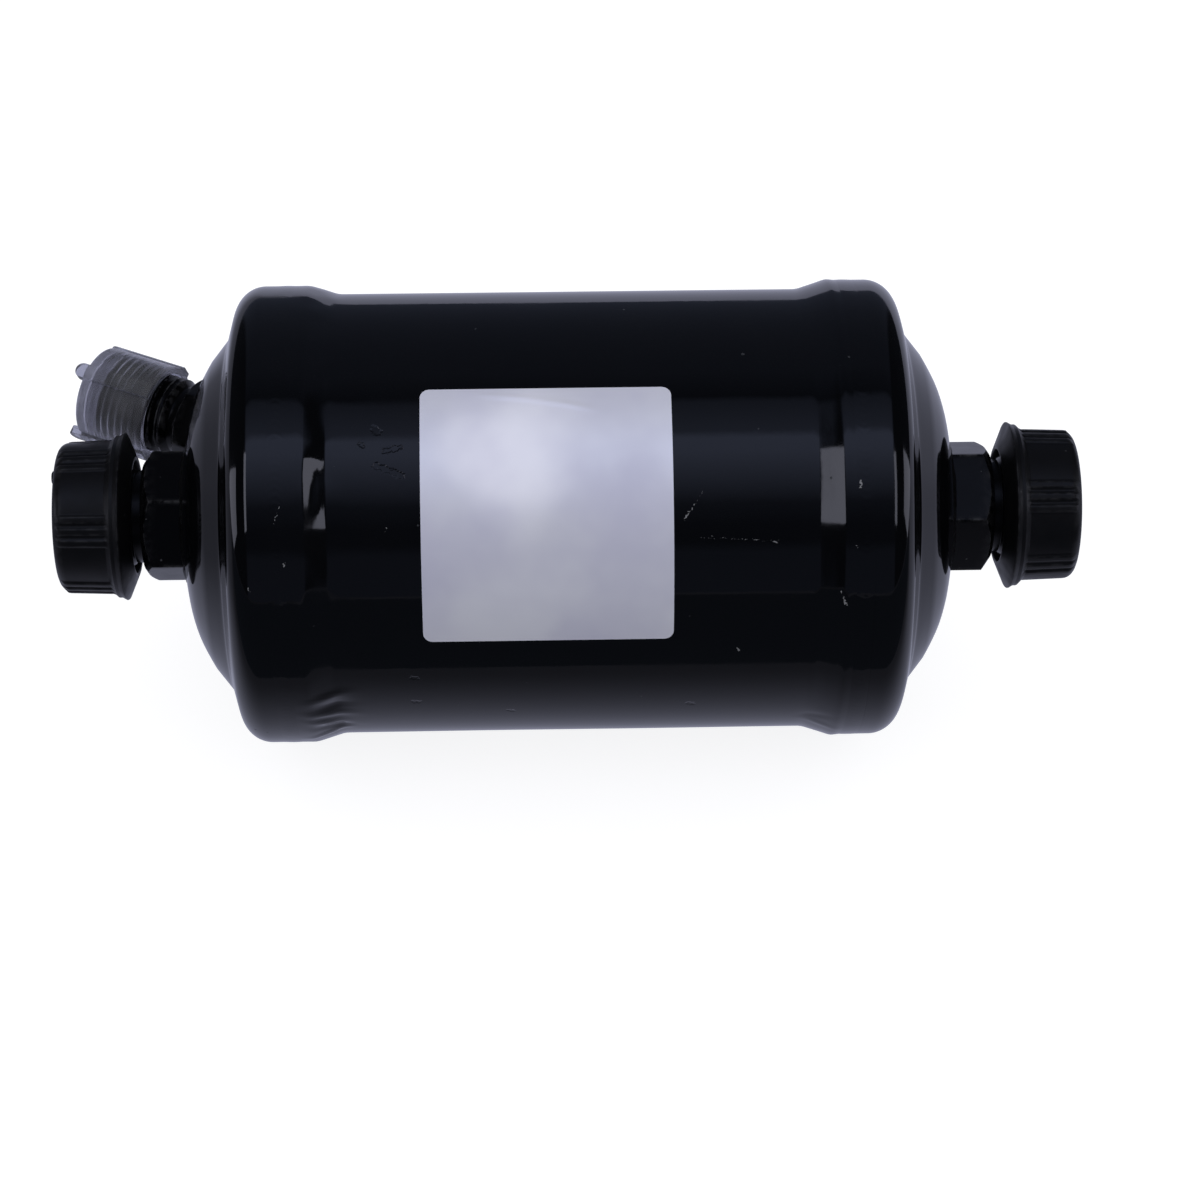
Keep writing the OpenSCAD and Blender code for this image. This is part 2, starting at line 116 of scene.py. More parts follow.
def makePiece(name, *parts):
    mesh = bpy.data.meshes.new(name)
    build = bmesh.new()
    for verts, faces in parts:
        made = [build.verts.new(v) for v in verts]
        for face in faces:
            build.faces.new([made[i] for i in face])
    bmesh.ops.remove_doubles(build, verts=build.verts, dist=1e-7)
    bmesh.ops.dissolve_degenerate(build, edges=build.edges, dist=1e-7)
    bmesh.ops.recalc_face_normals(build, faces=build.faces)
    build.to_mesh(mesh)
    build.free()
    piece = bpy.data.objects.new(name, mesh)
    scene.collection.objects.link(piece)
    return piece


def combine(piece, other, operation):
    change = piece.modifiers.new("combine", "BOOLEAN")
    change.operation = operation
    change.solver = "EXACT"
    change.object = other
    bpy.context.view_layer.update()
    ready = piece.evaluated_get(bpy.context.evaluated_depsgraph_get())
    mesh = bpy.data.meshes.new_from_object(ready)
    piece.modifiers.clear()
    piece.data = mesh
    bpy.data.objects.remove(other)


def markEdges(mesh, lowest=0.10, span=0.35):
    wear = mesh.attributes.new("edgeWear", "FLOAT", "POINT")
    build = bmesh.new()
    build.from_mesh(mesh)
    sharp = [0.0] * len(build.verts)
    for edge in build.edges:
        if len(edge.link_faces) == 2:
            bend = edge.calc_face_angle_signed(0)
            for vert in edge.verts:
                sharp[vert.index] = max(sharp[vert.index], bend)
    build.free()
    wear.data.foreach_set("value", [min(1, max(0, (bend - lowest) / span)) for bend in sharp])


def finishPiece(piece, material, body, slot, *nodes, smoothAngle=32):
    mesh = piece.data
    markEdges(mesh)
    mesh.polygons.foreach_set("use_smooth", [True] * len(mesh.polygons))
    mesh.set_sharp_from_angle(angle=radians(smoothAngle))
    mesh.materials.clear()
    mesh.materials.append(material)
    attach(piece, body)
    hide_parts(*nodes)
    print("made", piece.name, len(mesh.polygons), "faces")


def waves(x, y, z, size):
    return noise.noise(Vector((x, y, z)) / size)


def smoothRise(value, low, high):
    share = min(1, max(0, (value - low) / (high - low)))
    return share * share * (3 - 2 * share)


# shader tools
def addNode(tree, kind, values=None, **settings):
    node = tree.nodes.new(kind)
    for key, value in settings.items():
        setattr(node, key, value)
    for key, value in (values or {}).items():
        if isinstance(value, bpy.types.NodeSocket):
            tree.links.new(value, node.inputs[key])
        else:
            node.inputs[key].default_value = value
    return node


def sums(tree, operation, first, second=0.0, clamp=False):
    values = {0: first, 1: second}
    return addNode(tree, "ShaderNodeMath", values, operation=operation, use_clamp=clamp).outputs[0]


def vectors(tree, operation, first, second, output="Vector"):
    values = {0: first, 1: second}
    return addNode(tree, "ShaderNodeVectorMath", values, operation=operation).outputs[output]


def scaled(tree, vector, amount):
    values = {0: vector, "Scale": amount}
    return addNode(tree, "ShaderNodeVectorMath", values, operation="SCALE").outputs[0]


def clouds(tree, point, size, detail, output=0):
    values = {"Vector": point, "Scale": size, "Detail": detail}
    return addNode(tree, "ShaderNodeTexNoise", values).outputs[output]


def ranged(tree, value, fromLow, fromHigh, toLow=0.0, toHigh=1.0):
    values = {"Value": value, "From Min": fromLow, "From Max": fromHigh}
    values |= {"To Min": toLow, "To Max": toHigh}
    node = addNode(tree, "ShaderNodeMapRange", values, interpolation_type="SMOOTHSTEP")
    return node.outputs["Result"]


def blended(tree, factor, first, second):
    values = {"Factor": factor, 6: first, 7: second}  # 6 and 7 are the colour sockets
    return addNode(tree, "ShaderNodeMix", values, data_type="RGBA").outputs[2]


def objectPoint(tree, stretch=(1, 1, 1)):
    point = addNode(tree, "ShaderNodeTexCoord").outputs["Object"]
    return addNode(tree, "ShaderNodeMapping", {"Vector": point, "Scale": stretch}).outputs[0]


def startGroup(name, inputs, output):
    tree = bpy.data.node_groups.new(name, "ShaderNodeTree")
    for label, kind, value in inputs:
        socket = tree.interface.new_socket(label, in_out="INPUT", socket_type="NodeSocket" + kind)
        socket.default_value = value
    tree.interface.new_socket(output, in_out="OUTPUT", socket_type="NodeSocketFloat")
    given = addNode(tree, "NodeGroupInput").outputs
    return tree, given, addNode(tree, "NodeGroupOutput").inputs[0]


def placeGroup(tree, group, **values):
    return addNode(tree, "ShaderNodeGroup", values, node_tree=group).outputs[0]


# shallow waves of sprayed paint, finer ones on top
def orangePeelGroup():
    inputs = [("Size", "Float", 400.0), ("Slow", "Float", 0.6)]
    tree, given, height = startGroup("orangePeel", inputs, "Height")
    point = objectPoint(tree)
    fine = clouds(tree, point, given["Size"], 2.0)
    slow = clouds(tree, point, sums(tree, "MULTIPLY", given["Size"], 0.16), 1.0)
    total = sums(tree, "ADD", sums(tree, "MULTIPLY", slow, given["Slow"]), fine)
    tree.links.new(total, height)
    return tree


# small grains that lie on a surface, one in a share of the cells
def specksGroup():
    inputs = [("Size", "Float", 300.0), ("Amount", "Float", 0.1), ("Grain", "Float", 0.2)]
    tree, given, mask = startGroup("specks", inputs, "Mask")
    values = {"Vector": objectPoint(tree), "Scale": given["Size"]}
    cells = addNode(tree, "ShaderNodeTexVoronoi", values).outputs
    draws = addNode(tree, "ShaderNodeSeparateColor", {0: cells["Color"]}).outputs
    chosen = sums(tree, "LESS_THAN", draws[0], given["Amount"])
    size = sums(tree, "MULTIPLY", given["Grain"], draws[1])
    near = sums(tree, "LESS_THAN", cells["Distance"], size)
    tree.links.new(sums(tree, "MULTIPLY", chosen, near), mask)
    return tree


# thin broken hairlines, drawn out along one direction
def hairlinesGroup():
    inputs = [("Stretch", "Vector", (40, 900, 900)), ("Amount", "Float", 0.5)]
    tree, given, mask = startGroup("hairlines", inputs, "Mask")
    point = addNode(tree, "ShaderNodeTexCoord").outputs["Object"]
    lines = clouds(tree, vectors(tree, "MULTIPLY", point, given["Stretch"]), 1.0, 1.0)
    ridge = sums(tree, "ABSOLUTE", sums(tree, "SUBTRACT", lines, 0.5))
    thin = ranged(tree, ridge, 0.004, 0.0)
    patches = clouds(tree, point, 90.0, 2.0)
    start = sums(tree, "SUBTRACT", 0.75, sums(tree, "MULTIPLY", given["Amount"], 0.3))
    there = ranged(tree, patches, start, 0.8)
    tree.links.new(sums(tree, "MULTIPLY", thin, there), mask)
    return tree


# rubbed corners, from the edges that the mesh marks
def edgeRubGroup():
    inputs = [("Amount", "Float", 0.5), ("Size", "Float", 900.0)]
    tree, given, mask = startGroup("edgeRub", inputs, "Mask")
    edge = addNode(tree, "ShaderNodeAttribute", attribute_name="edgeWear").outputs["Fac"]
    breaks = clouds(tree, objectPoint(tree), given["Size"], 3.0)
    rubbed = sums(tree, "MULTIPLY", edge, ranged(tree, breaks, 0.36, 0.68))
    tree.links.new(sums(tree, "MULTIPLY", rubbed, given["Amount"], True), mask)
    return tree


# one knock or scratch: a short line with a ragged edge
def knockGroup():
    ends = [("Start", "Vector", (0, 0, 0)), ("End", "Vector", (0, 0, 0))]
    tree, given, mask = startGroup("knock", ends + [("Width", "Float", 0.0002)], "Mask")
    point = objectPoint(tree)
    stir = clouds(tree, point, 1500.0, 2.0, "Color")
    shift = scaled(tree, vectors(tree, "SUBTRACT", stir, (0.5, 0.5, 0.5)), 0.0012)
    away = vectors(tree, "SUBTRACT", vectors(tree, "ADD", point, shift), given["Start"])
    along = vectors(tree, "SUBTRACT", given["End"], given["Start"])
    reach = vectors(tree, "DOT_PRODUCT", away, along, "Value")
    size = vectors(tree, "DOT_PRODUCT", along, along, "Value")
    foot = scaled(tree, along, sums(tree, "DIVIDE", reach, size, True))
    gap = vectors(tree, "DISTANCE", away, foot, "Value")
    core = sums(tree, "MULTIPLY", given["Width"], 0.4)
    tree.links.new(ranged(tree, gap, given["Width"], core), mask)
    return tree


# fine grain of a moulded or cast surface
def grainGroup():
    tree, given, height = startGroup("grain", [("Size", "Float", 2500.0)], "Height")
    tree.links.new(clouds(tree, objectPoint(tree), given["Size"], 3.0), height)
    return tree


orangePeel = orangePeelGroup()
specks = specksGroup()
hairlines = hairlinesGroup()
edgeRub = edgeRubGroup()
knock = knockGroup()
grain = grainGroup()
print("finish groups made")


def startMaterial(name, **constants):
    material = bpy.data.materials.new(name)
    material.use_nodes = True
    tree = material.node_tree
    shader = tree.nodes["Principled BSDF"]
    for key, value in constants.items():
        shader.inputs[key.replace("_", " ")].default_value = value
    return material, tree, shader


def feed(tree, shader, **values):
    for key, value in values.items():
        tree.links.new(value, shader.inputs[key.replace("_", " ")])


def setBump(tree, shader, height, depth):
    bump = addNode(tree, "ShaderNodeBump", {"Height": height, "Distance": depth})
    tree.links.new(bump.outputs[0], shader.inputs["Normal"])


def canSpot(x, elevation, radius=38.1):
    angle = radians(elevation)
    return Vector((x, -radius * cos(angle), radius * sin(angle))) * mm


# knocks and scratches on the can: x, elevation, x, elevation, radius, half width
canMarks = [
    (18.3, 39.7, 20.0, 43.0, 38.1, 0.14),
    (20.0, 43.0, 21.6, 46.7, 38.1, 0.05),
    (21.0, 35.2, 32.6, 33.9, 38.1, 0.05),
    (33.0, 33.9, 33.4, 33.8, 38.1, 0.20),
    (47.1, 47.9, 47.1, 46.6, 39.6, 0.22),
    (43.8, 21.5, 44.9, 17.9, 39.6, 0.20),
    (46.2, 33.0, 46.5, 32.3, 39.6, 0.12),
    (-47.0, 44.3, -48.2, 40.1, 39.6, 0.10),
    (-46.7, 30.6, -46.7, 29.6, 39.6, 0.14),
    (-52.5, 24.6, -52.4, 23.8, 39.6, 0.16),
    (-30.3, 38.4, -30.1, 37.7, 38.1, 0.16),
    (27.2, 4.5, 27.6, 3.8, 38.1, 0.22),
]

# small dents in the wall, laid out the same way
canDents = [
    (-32.0, 63.2, -31.3, 62.4, 38.1, 0.8),
    (-30.2, 57.4, -27.6, 58.4, 38.1, 0.6),
    (-31.7, 53.7, -27.4, 51.1, 38.1, 0.7),
    (-34.1, 59.3, -33.8, 58.8, 38.1, 0.5),
    (-26.8, -4.0, -26.0, -4.2, 38.1, 0.5),
    (-26.6, -14.2, -25.8, -14.4, 38.1, 0.5),
    (-10.6, -19.8, -9.8, -20.0, 38.1, 0.5),
    (19.6, -17.0, 20.4, -17.4, 38.1, 0.6),
]

paintLook = {
    "black": (0.0009, 0.0010, 0.0013, 1),
    "dust": (0.022, 0.023, 0.027, 1),
    "bare": (0.17, 0.17, 0.18, 1),
    "specks": {"Size": 520.0, "Amount": 0.05, "Grain": 0.16},
    "hairlines": 0.35,
    "hairlineTone": 0.4,
    "cloudSize": 70.0,
    "rough": (0.04, 0.11),
    "roughDust": 0.35,
    "peel": {"Size": 420.0, "Slow": 2.4},
    "peelDepth": 7e-6,
    "dentDepth": 8.0,  # in peel depths
}


def markedSpots(tree, marks):
    total = 0.0
    for x0, e0, x1, e1, radius, width in marks:
        start, end = canSpot(x0, e0, radius), canSpot(x1, e1, radius)
        mark = placeGroup(tree, knock, Start=start, End=end, Width=width * mm)
        total = sums(tree, "MAXIMUM", total, mark)
    return total


def makePaint():
    look = paintLook
    material, tree, shader = startMaterial("glossBlackPaint", IOR=1.5)
    dust = placeGroup(tree, specks, **look["specks"])
    lines = placeGroup(tree, hairlines, Amount=look["hairlines"])
    hits = markedSpots(tree, canMarks)
    dents = markedSpots(tree, canDents)
    dirt = sums(tree, "MAXIMUM", dust, sums(tree, "MULTIPLY", lines, look["hairlineTone"]))
    colour = blended(tree, dirt, look["black"], look["dust"])
    colour = blended(tree, hits, colour, look["bare"])
    cloud = clouds(tree, objectPoint(tree), look["cloudSize"], 4.0)
    rough = ranged(tree, cloud, 0.35, 0.7, *look["rough"])
    dulled = sums(tree, "MULTIPLY", sums(tree, "MAXIMUM", dust, hits), look["roughDust"])
    feed(tree, shader, Base_Color=colour, Roughness=sums(tree, "ADD", rough, dulled))
    peel = placeGroup(tree, orangePeel, **look["peel"])
    height = sums(tree, "SUBTRACT", peel, sums(tree, "MULTIPLY", dents, look["dentDepth"]))
    setBump(tree, shader, height, look["peelDepth"])
    return material


portLook = {
    "black": (0.0010, 0.0010, 0.0013, 1),
    "dust": (0.04, 0.04, 0.045, 1),
    "steel": (0.20, 0.20, 0.22, 1),
    "rub": {"Amount": 0.2, "Size": 700.0},
    "rubMetal": 0.7,
    "specks": {"Size": 900.0, "Amount": 0.06, "Grain": 0.2},
    "cloudSize": 160.0,
    "rough": (0.14, 0.24),
    "grainSize": 1400.0,
    "grainDepth": 6e-6,
}


def makePortPaint():
    look = portLook
    material, tree, shader = startMaterial("satinBlackPort", IOR=1.26)
    rubbed = placeGroup(tree, edgeRub, **look["rub"])
    dust = placeGroup(tree, specks, **look["specks"])
    colour = blended(tree, dust, look["black"], look["dust"])
    colour = blended(tree, rubbed, colour, look["steel"])
    cloud = clouds(tree, objectPoint(tree), look["cloudSize"], 3.0)
    rough = ranged(tree, cloud, 0.3, 0.7, *look["rough"])
    metal = sums(tree, "MULTIPLY", rubbed, look["rubMetal"])
    feed(tree, shader, Base_Color=colour, Roughness=rough, Metallic=metal)
    setBump(tree, shader, placeGroup(tree, grain, Size=look["grainSize"]), look["grainDepth"])
    return material


beadLook = {
    "hollow": (0.0012, 0.0012, 0.0014, 1),
    "lump": (0.005, 0.005, 0.006, 1),
    "lumpSize": 900.0,
    "lumpDepth": 1.5e-4,
    "rough": (0.3, 0.55),
}


def makeBeadBlack():
    look = beadLook
    material, tree, shader = startMaterial("weldBeadBlack", IOR=1.3)
    lumps = clouds(tree, objectPoint(tree), look["lumpSize"], 4.0)
    # painted shade: the bead's colour is darker in the hollows of its bump and lighter on its lumps
    colour = blended(tree, ranged(tree, lumps, 0.4, 0.75), look["hollow"], look["lump"])
    rough = ranged(tree, lumps, 0.3, 0.7, *look["rough"])
    feed(tree, shader, Base_Color=colour, Roughness=rough)
    setBump(tree, shader, lumps, look["lumpDepth"])
    return material


capLook = {
    "black": (0.0024, 0.0024, 0.0030, 1),
    "scuff": (0.026, 0.026, 0.029, 1),
    "rub": {"Amount": 0.5, "Size": 600.0},
    "specks": {"Size": 700.0, "Amount": 0.05, "Grain": 0.18},
    "cloudSize": 220.0,
    "rough": (0.3, 0.44),
    "grainSize": 2600.0,
    "grainDepth": 1.2e-5,
}


def makeCapPlastic():
    look = capLook
    material, tree, shader = startMaterial("satinBlackPlastic", IOR=1.34)
    rubbed = placeGroup(tree, edgeRub, **look["rub"])
    dust = placeGroup(tree, specks, **look["specks"])
    colour = blended(tree, sums(tree, "MAXIMUM", rubbed, dust), look["black"], look["scuff"])
    cloud = clouds(tree, objectPoint(tree), look["cloudSize"], 3.0)
    rough = ranged(tree, cloud, 0.3, 0.7, *look["rough"])
    feed(tree, shader, Base_Color=colour, Roughness=rough)
    setBump(tree, shader, placeGroup(tree, grain, Size=look["grainSize"]), look["grainDepth"])
    return material


clearLook = {
    "clear": (0.30, 0.30, 0.33, 1),
    "milky": (0.42, 0.42, 0.46, 1),
    "scuff": (0.62, 0.62, 0.65, 1),
    "rub": {"Amount": 0.35, "Size": 500.0},
    "cloudSize": 180.0,
    "rough": (0.18, 0.25),
    "grainSize": 1600.0,
    "grainDepth": 5e-6,
}


def makeClearPlastic():
    look = clearLook
    material, tree, shader = startMaterial("milkyPlastic", IOR=1.42, Transmission_Weight=0.86)
    cloud = clouds(tree, objectPoint(tree), look["cloudSize"], 3.0)
    colour = blended(tree, ranged(tree, cloud, 0.3, 0.7), look["clear"], look["milky"])
    rubbed = placeGroup(tree, edgeRub, **look["rub"])
    colour = blended(tree, rubbed, colour, look["scuff"])
    rough = ranged(tree, cloud, 0.3, 0.7, *look["rough"])
    feed(tree, shader, Base_Color=colour, Roughness=rough)
    setBump(tree, shader, placeGroup(tree, grain, Size=look["grainSize"]), look["grainDepth"])
    return material


labelLook = {
    "silver": (0.92, 0.915, 1.0, 1),
    "dull": (0.74, 0.73, 0.86, 1),
    "cloudSize": 45.0,
    "rough": (0.36, 0.50),
    "metal": 0.46,
    # painted highlight: a placed spot where the film is less metallic, so the label shows brighter
    # there
    "paintedHighlight": 0.12,
    "paintedHighlightSpot": (-9.0, 56.0),  # x, elevation of the painted highlight spot
    "paintedHighlightReach": 17.0,
    "paintedHighlightCore": 2.0,
    "paintedHighlightRagged": 3.0,
    "raggedSize": 60.0,
    "brush": (150, 2600, 2600),
    "brushDepth": 4e-6,
}


def makeLabelFilm():
    look = labelLook
    material, tree, shader = startMaterial("silverFilm", IOR=1.5)
    point = objectPoint(tree)
    # painted highlight: a ragged spot of lower metallic that brightens the label
    gap = vectors(tree, "DISTANCE", point, canSpot(*look["paintedHighlightSpot"]), "Value")
    stir = clouds(tree, point, look["raggedSize"], 1.0)
    ragged = look["paintedHighlightRagged"] * mm
    gap = sums(tree, "ADD", gap, ranged(tree, stir, 0.2, 0.8, -ragged, ragged))
    paintedHighlight = ranged(tree, gap, look["paintedHighlightReach"] * mm, look["paintedHighlightCore"] * mm)
    metal = ranged(tree, paintedHighlight, 0, 1, look["metal"], look["paintedHighlight"])
    cloud = clouds(tree, point, look["cloudSize"], 3.0)
    colour = blended(tree, ranged(tree, cloud, 0.3, 0.7), look["silver"], look["dull"])
    rough = ranged(tree, cloud, 0.3, 0.7, *look["rough"])
    feed(tree, shader, Base_Color=colour, Roughness=rough, Metallic=metal)
    brush = clouds(tree, objectPoint(tree, look["brush"]), 1.0, 2.0)
    setBump(tree, shader, brush, look["brushDepth"])
    return material


steelLook = {
    "dark": (0.42, 0.43, 0.45, 1),
    "light": (0.58, 0.59, 0.61, 1),
    "drawn": (300, 2400, 2400),
    "drawnDepth": 6e-6,
    "rough": (0.26, 0.42),
}


def makeSteel():
    look = steelLook
    material, tree, shader = startMaterial("drawnSteel", Metallic=1.0)
    drawn = clouds(tree, objectPoint(tree, look["drawn"]), 1.0, 3.0)
    colour = blended(tree, drawn, look["dark"], look["light"])
    rough = ranged(tree, drawn, 0.3, 0.7, *look["rough"])
    feed(tree, shader, Base_Color=colour, Roughness=rough)
    setBump(tree, shader, drawn, look["drawnDepth"])
    return material


wireLook = {
    "gap": (0.05, 0.05, 0.055, 1),
    "wire": (0.55, 0.56, 0.58, 1),
    "bend": 0.004,
    "bendSize": 220.0,
    "weave": {"Scale": 190.0, "Distortion": 3.0},
    "wireDepth": 2e-4,
    "rough": (0.7, 0.3),
}


def makeWirePad():
    look = wireLook
    material, tree, shader = startMaterial("knittedWire", Metallic=0.85)
    point = objectPoint(tree)
    bend = clouds(tree, point, look["bendSize"], 2.0, "Color")
    values = {"Vector": vectors(tree, "ADD", point, scaled(tree, bend, look["bend"]))}
    values |= look["weave"]
    wires = 0.0
    for way in ("Y", "Z"):
        wave = addNode(tree, "ShaderNodeTexWave", values, bands_direction=way).outputs["Fac"]
        wires = sums(tree, "MAXIMUM", wires, ranged(tree, wave, 0.62, 0.95))
    # painted shade: the gaps between the wires are dark, standing in for shade inside the knitted
    # pad
    colour = blended(tree, wires, look["gap"], look["wire"])
    rough = ranged(tree, wires, 0.0, 1.0, *look["rough"])
    feed(tree, shader, Base_Color=colour, Roughness=rough)
    setBump(tree, shader, wires, look["wireDepth"])
    return material


rubberLook = {
    "dark": (0.010, 0.010, 0.010, 1),
    "light": (0.024, 0.024, 0.024, 1),
    "grainSize": 1800.0,
    "grainDepth": 1e-5,
    "rough": (0.5, 0.68),
}


def makeRubber():
    look = rubberLook
    material, tree, shader = startMaterial("sealRubber", IOR=1.5)
    matt = placeGroup(tree, grain, Size=look["grainSize"])
    colour = blended(tree, matt, look["dark"], look["light"])
    rough = ranged(tree, matt, 0.3, 0.7, *look["rough"])
    feed(tree, shader, Base_Color=colour, Roughness=rough)
    setBump(tree, shader, matt, look["grainDepth"])
    return material


paint = makePaint()
portPaint = makePortPaint()
beadBlack = makeBeadBlack()
capPlastic = makeCapPlastic()
clearPlastic = makeClearPlastic()
labelFilm = makeLabelFilm()
steel = makeSteel()
wirePad = makeWirePad()
rubber = makeRubber()
print("materials made")

# can: radii and stations along the axis
can = {
    "waistRadius": 38.1,
    "bandRadius": 39.6,
    "wall": 2.0,
    "waistEnd": 39.3,
    "swageEnd": 44.0,
    "shellEnd": 46.5,
    "seamEnd": 49.5,
    "swageBlend": 5.0,
    "ridge": 0.14,
    "ridgeX": 44.6,
    "ridgeHalf": 0.9,
    "swageUneven": 0.09,
    "swageSize": 4.0,
    "swageReach": 3.0,
    "outletShift": 0.7,
    "outletShare": 0.12,  # of the inlet's unevenness
    "ridgeShare": 1.1,  # less the share of unevenness
    "foldStart": 34.0,
    "steps": 320,
    "rowLength": 0.6,
    "unevenSize": 26.0,
    "uneven": 0.035,
}

# press folds in the steps: x, elevation, half length, half width, height, slant
swageFolds = [
    (-40.8, -10.5, 3.0, 0.75, 0.34, 0.20),
    (-40.2, -14.5, 2.8, 0.80, -0.32, 0.10),
    (-40.6, -18.5, 3.2, 0.75, 0.36, -0.20),
    (-41.4, -23.0, 2.6, 0.70, 0.32, -0.35),
    (-40.4, -27.0, 2.8, 0.80, -0.30, -0.30),
    (-41.0, -31.5, 3.0, 0.80, 0.34, 0.45),
    (41.6, -24.0, 2.4, 0.70, -0.10, 0.40),
    (42.4, -30.0, 2.6, 0.80, 0.12, -0.30),
]


# radial unevenness of the can at x and a local angle
def canUneven(x, angle):
    c = can
    radius = c["waistRadius"]
    y, z = radius * cos(angle), radius * sin(angle)
    lift = c["uneven"] * waves(x, y, z, c["unevenSize"])
    share, shift = (1, 0) if x < 0 else (c["outletShare"], c["outletShift"])
    middle = (c["waistEnd"] + c["swageEnd"]) / 2 + shift
    fromMiddle = (abs(x) - middle) / c["swageReach"]
    fromRidge = (abs(x) - c["ridgeX"] - shift) / c["ridgeHalf"]
    lift += share * c["swageUneven"] * waves(x, y, z, c["swageSize"]) * exp(-(fromMiddle**2))
    lift += (c["ridgeShare"] - share) * c["ridge"] * exp(-(fromRidge**2))
    if abs(x) > c["foldStart"]:
        elevation = ((-angle * 180 / pi - 90) + 180) % 360 - 180
        for foldX, foldElevation, halfLength, halfWidth, height, slant in swageFolds:
            along = x - foldX
            across = radians(elevation - foldElevation) * radius - slant * along
            if abs(across) < 4 * halfWidth and x * foldX > 0:
                lift += height * exp(-((along / halfLength) ** 2) - (across / halfWidth) ** 2)
    return lift


def shellHalf(shift):
    c = can
    side = [
        (c["bandRadius"], c["shellEnd"], 0),
        (c["bandRadius"], c["swageEnd"] + shift, c["swageBlend"]),
        (c["waistRadius"], c["waistEnd"] + shift, c["swageBlend"]),
        (c["waistRadius"], 0, 0),
    ]
    return finePath(roundedPath(side, 6), c["rowLength"])


def shellOutline():
    inlet, outlet = shellHalf(0), shellHalf(can["outletShift"])
    return [Vector((p.x, -p.y)) for p in inlet[:-1]] + outlet[::-1]


def makeShell():
    outer = shellOutline()

    def pathAt(angle):
        skin = [(p.x + canUneven(p.y, angle), p.y) for p in outer]
        inside = [(p.x - can["wall"], p.y) for p in outer[::-4]]
        return skin + inside

    piece = makePiece("shellSkin", turnedMesh(canPlace, can["steps"], pathAt))
    finishPiece(piece, paint, "vessel", "black_paint", "shell_tube")


head = {
    "shoulderStart": 51.7,
    "shoulderRadius": 5.0,
    "ringSlope": radians(15),
    "ringWidth": 4.9,
    "creaseBlend": 3.0,
    "crownRadius": 52.0,
    "crownCentre": 16.08894,
    "portFlat": 0.6,
    "portFlatEdge": (12, 19),
    "crownFull": 0.5,
    "crownFullStart": (16, 23),
    "crownFullEnd": (28, 31.5),
    "portHole": 8.15,
    "returnHole": 5.3,
    "returnHoleReach": 8,
    "uneven": 0.03,
    "unevenSize": 18,
    "skirtRows": 4,
    "shoulderRows": 14,
    "creaseRun": 4,
    "creaseRowLength": 0.8,
    "crownRows": 18,
    "steps": 288,
}


# the crown is pressed a little flatter round the port and fuller near its edge
def crownForm(radius):
    h = head
    flat = h["portFlat"] * (1 - smoothRise(radius, *h["portFlatEdge"]))
    full = h["crownFull"] * smoothRise(radius, *h["crownFullStart"])
    return full * (1 - smoothRise(radius, *h["crownFullEnd"])) - flat


def headOutline(inset):
    h = head
    shoulder = h["shoulderRadius"] - inset
    middle = can["bandRadius"] - h["shoulderRadius"]
    skirt = h["shoulderStart"] - can["seamEnd"]
    path = []
    for row in range(h["skirtRows"]):
        height = can["seamEnd"] + skirt * row / h["skirtRows"]
        path.append(Vector((can["bandRadius"] - inset, height)))
    sweep = pi / 2 - h["ringSlope"]
    for row in range(h["shoulderRows"] + 1):
        angle = sweep * row / h["shoulderRows"]
        height = h["shoulderStart"] + shoulder * sin(angle)
        path.append(Vector((middle + shoulder * cos(angle), height)))
    start = path.pop()
    crease = middle + h["shoulderRadius"] * sin(h["ringSlope"]) - h["ringWidth"]
    crown = h["crownRadius"] - inset

    def crownAt(radius):
        height = h["crownCentre"] + sqrt(crown**2 - radius**2) + crownForm(radius)
        return Vector((radius, height))

    edge = crease - h["creaseRun"]
    bend = [(*start, 0), (*crownAt(crease), h["creaseBlend"]), (*crownAt(edge), 0)]
    path += finePath(roundedPath(bend, 5), h["creaseRowLength"])
    for row in range(1, h["crownRows"] + 1):
        path.append(crownAt(edge + (h["portHole"] - edge) * row / h["crownRows"]))
    return path


def makeHead(side):
    outer, inner = headOutline(0), headOutline(can["wall"])
    place = headPlaces[side]
    facing = place[0][2]  # 1 at the outlet, -1 at the inlet

    def pathAt(angle):
        skin = []
        for p in outer:
            y, z = p.x * cos(angle), p.x * sin(angle)
            rise = head["uneven"] * waves(p.y * facing, y, z, head["unevenSize"])
            skin.append((p.x, p.y + rise))
        return skin + [(p.x, p.y) for p in inner[::-1]]

    piece = makePiece(side + "HeadSkin", turnedMesh(place, head["steps"], pathAt))
    if side == "inlet":
        radius, reach = head["returnHole"], head["returnHoleReach"]
        rod = [(0, -reach), (radius, -reach), (radius, reach), (0, reach)]
        drill = turnedMesh(portPlaces["oilReturn"], 64, lambda angle: rod, closed=False)
        combine(piece, makePiece("returnHoleCutter", drill), "DIFFERENCE")
    finishPiece(piece, paint, "vessel", "black_paint", side + "_head")


seam = {
    "crown": 0.04,
    "rows": 12,
    "ripple": 0.004,
    "rippleLength": 1.3,
    "rippleBow": 1.1,
    "wander": 0.025,
    "wanderRing": 40,
    "wanderSize": 4,
    "steps": 720,
}


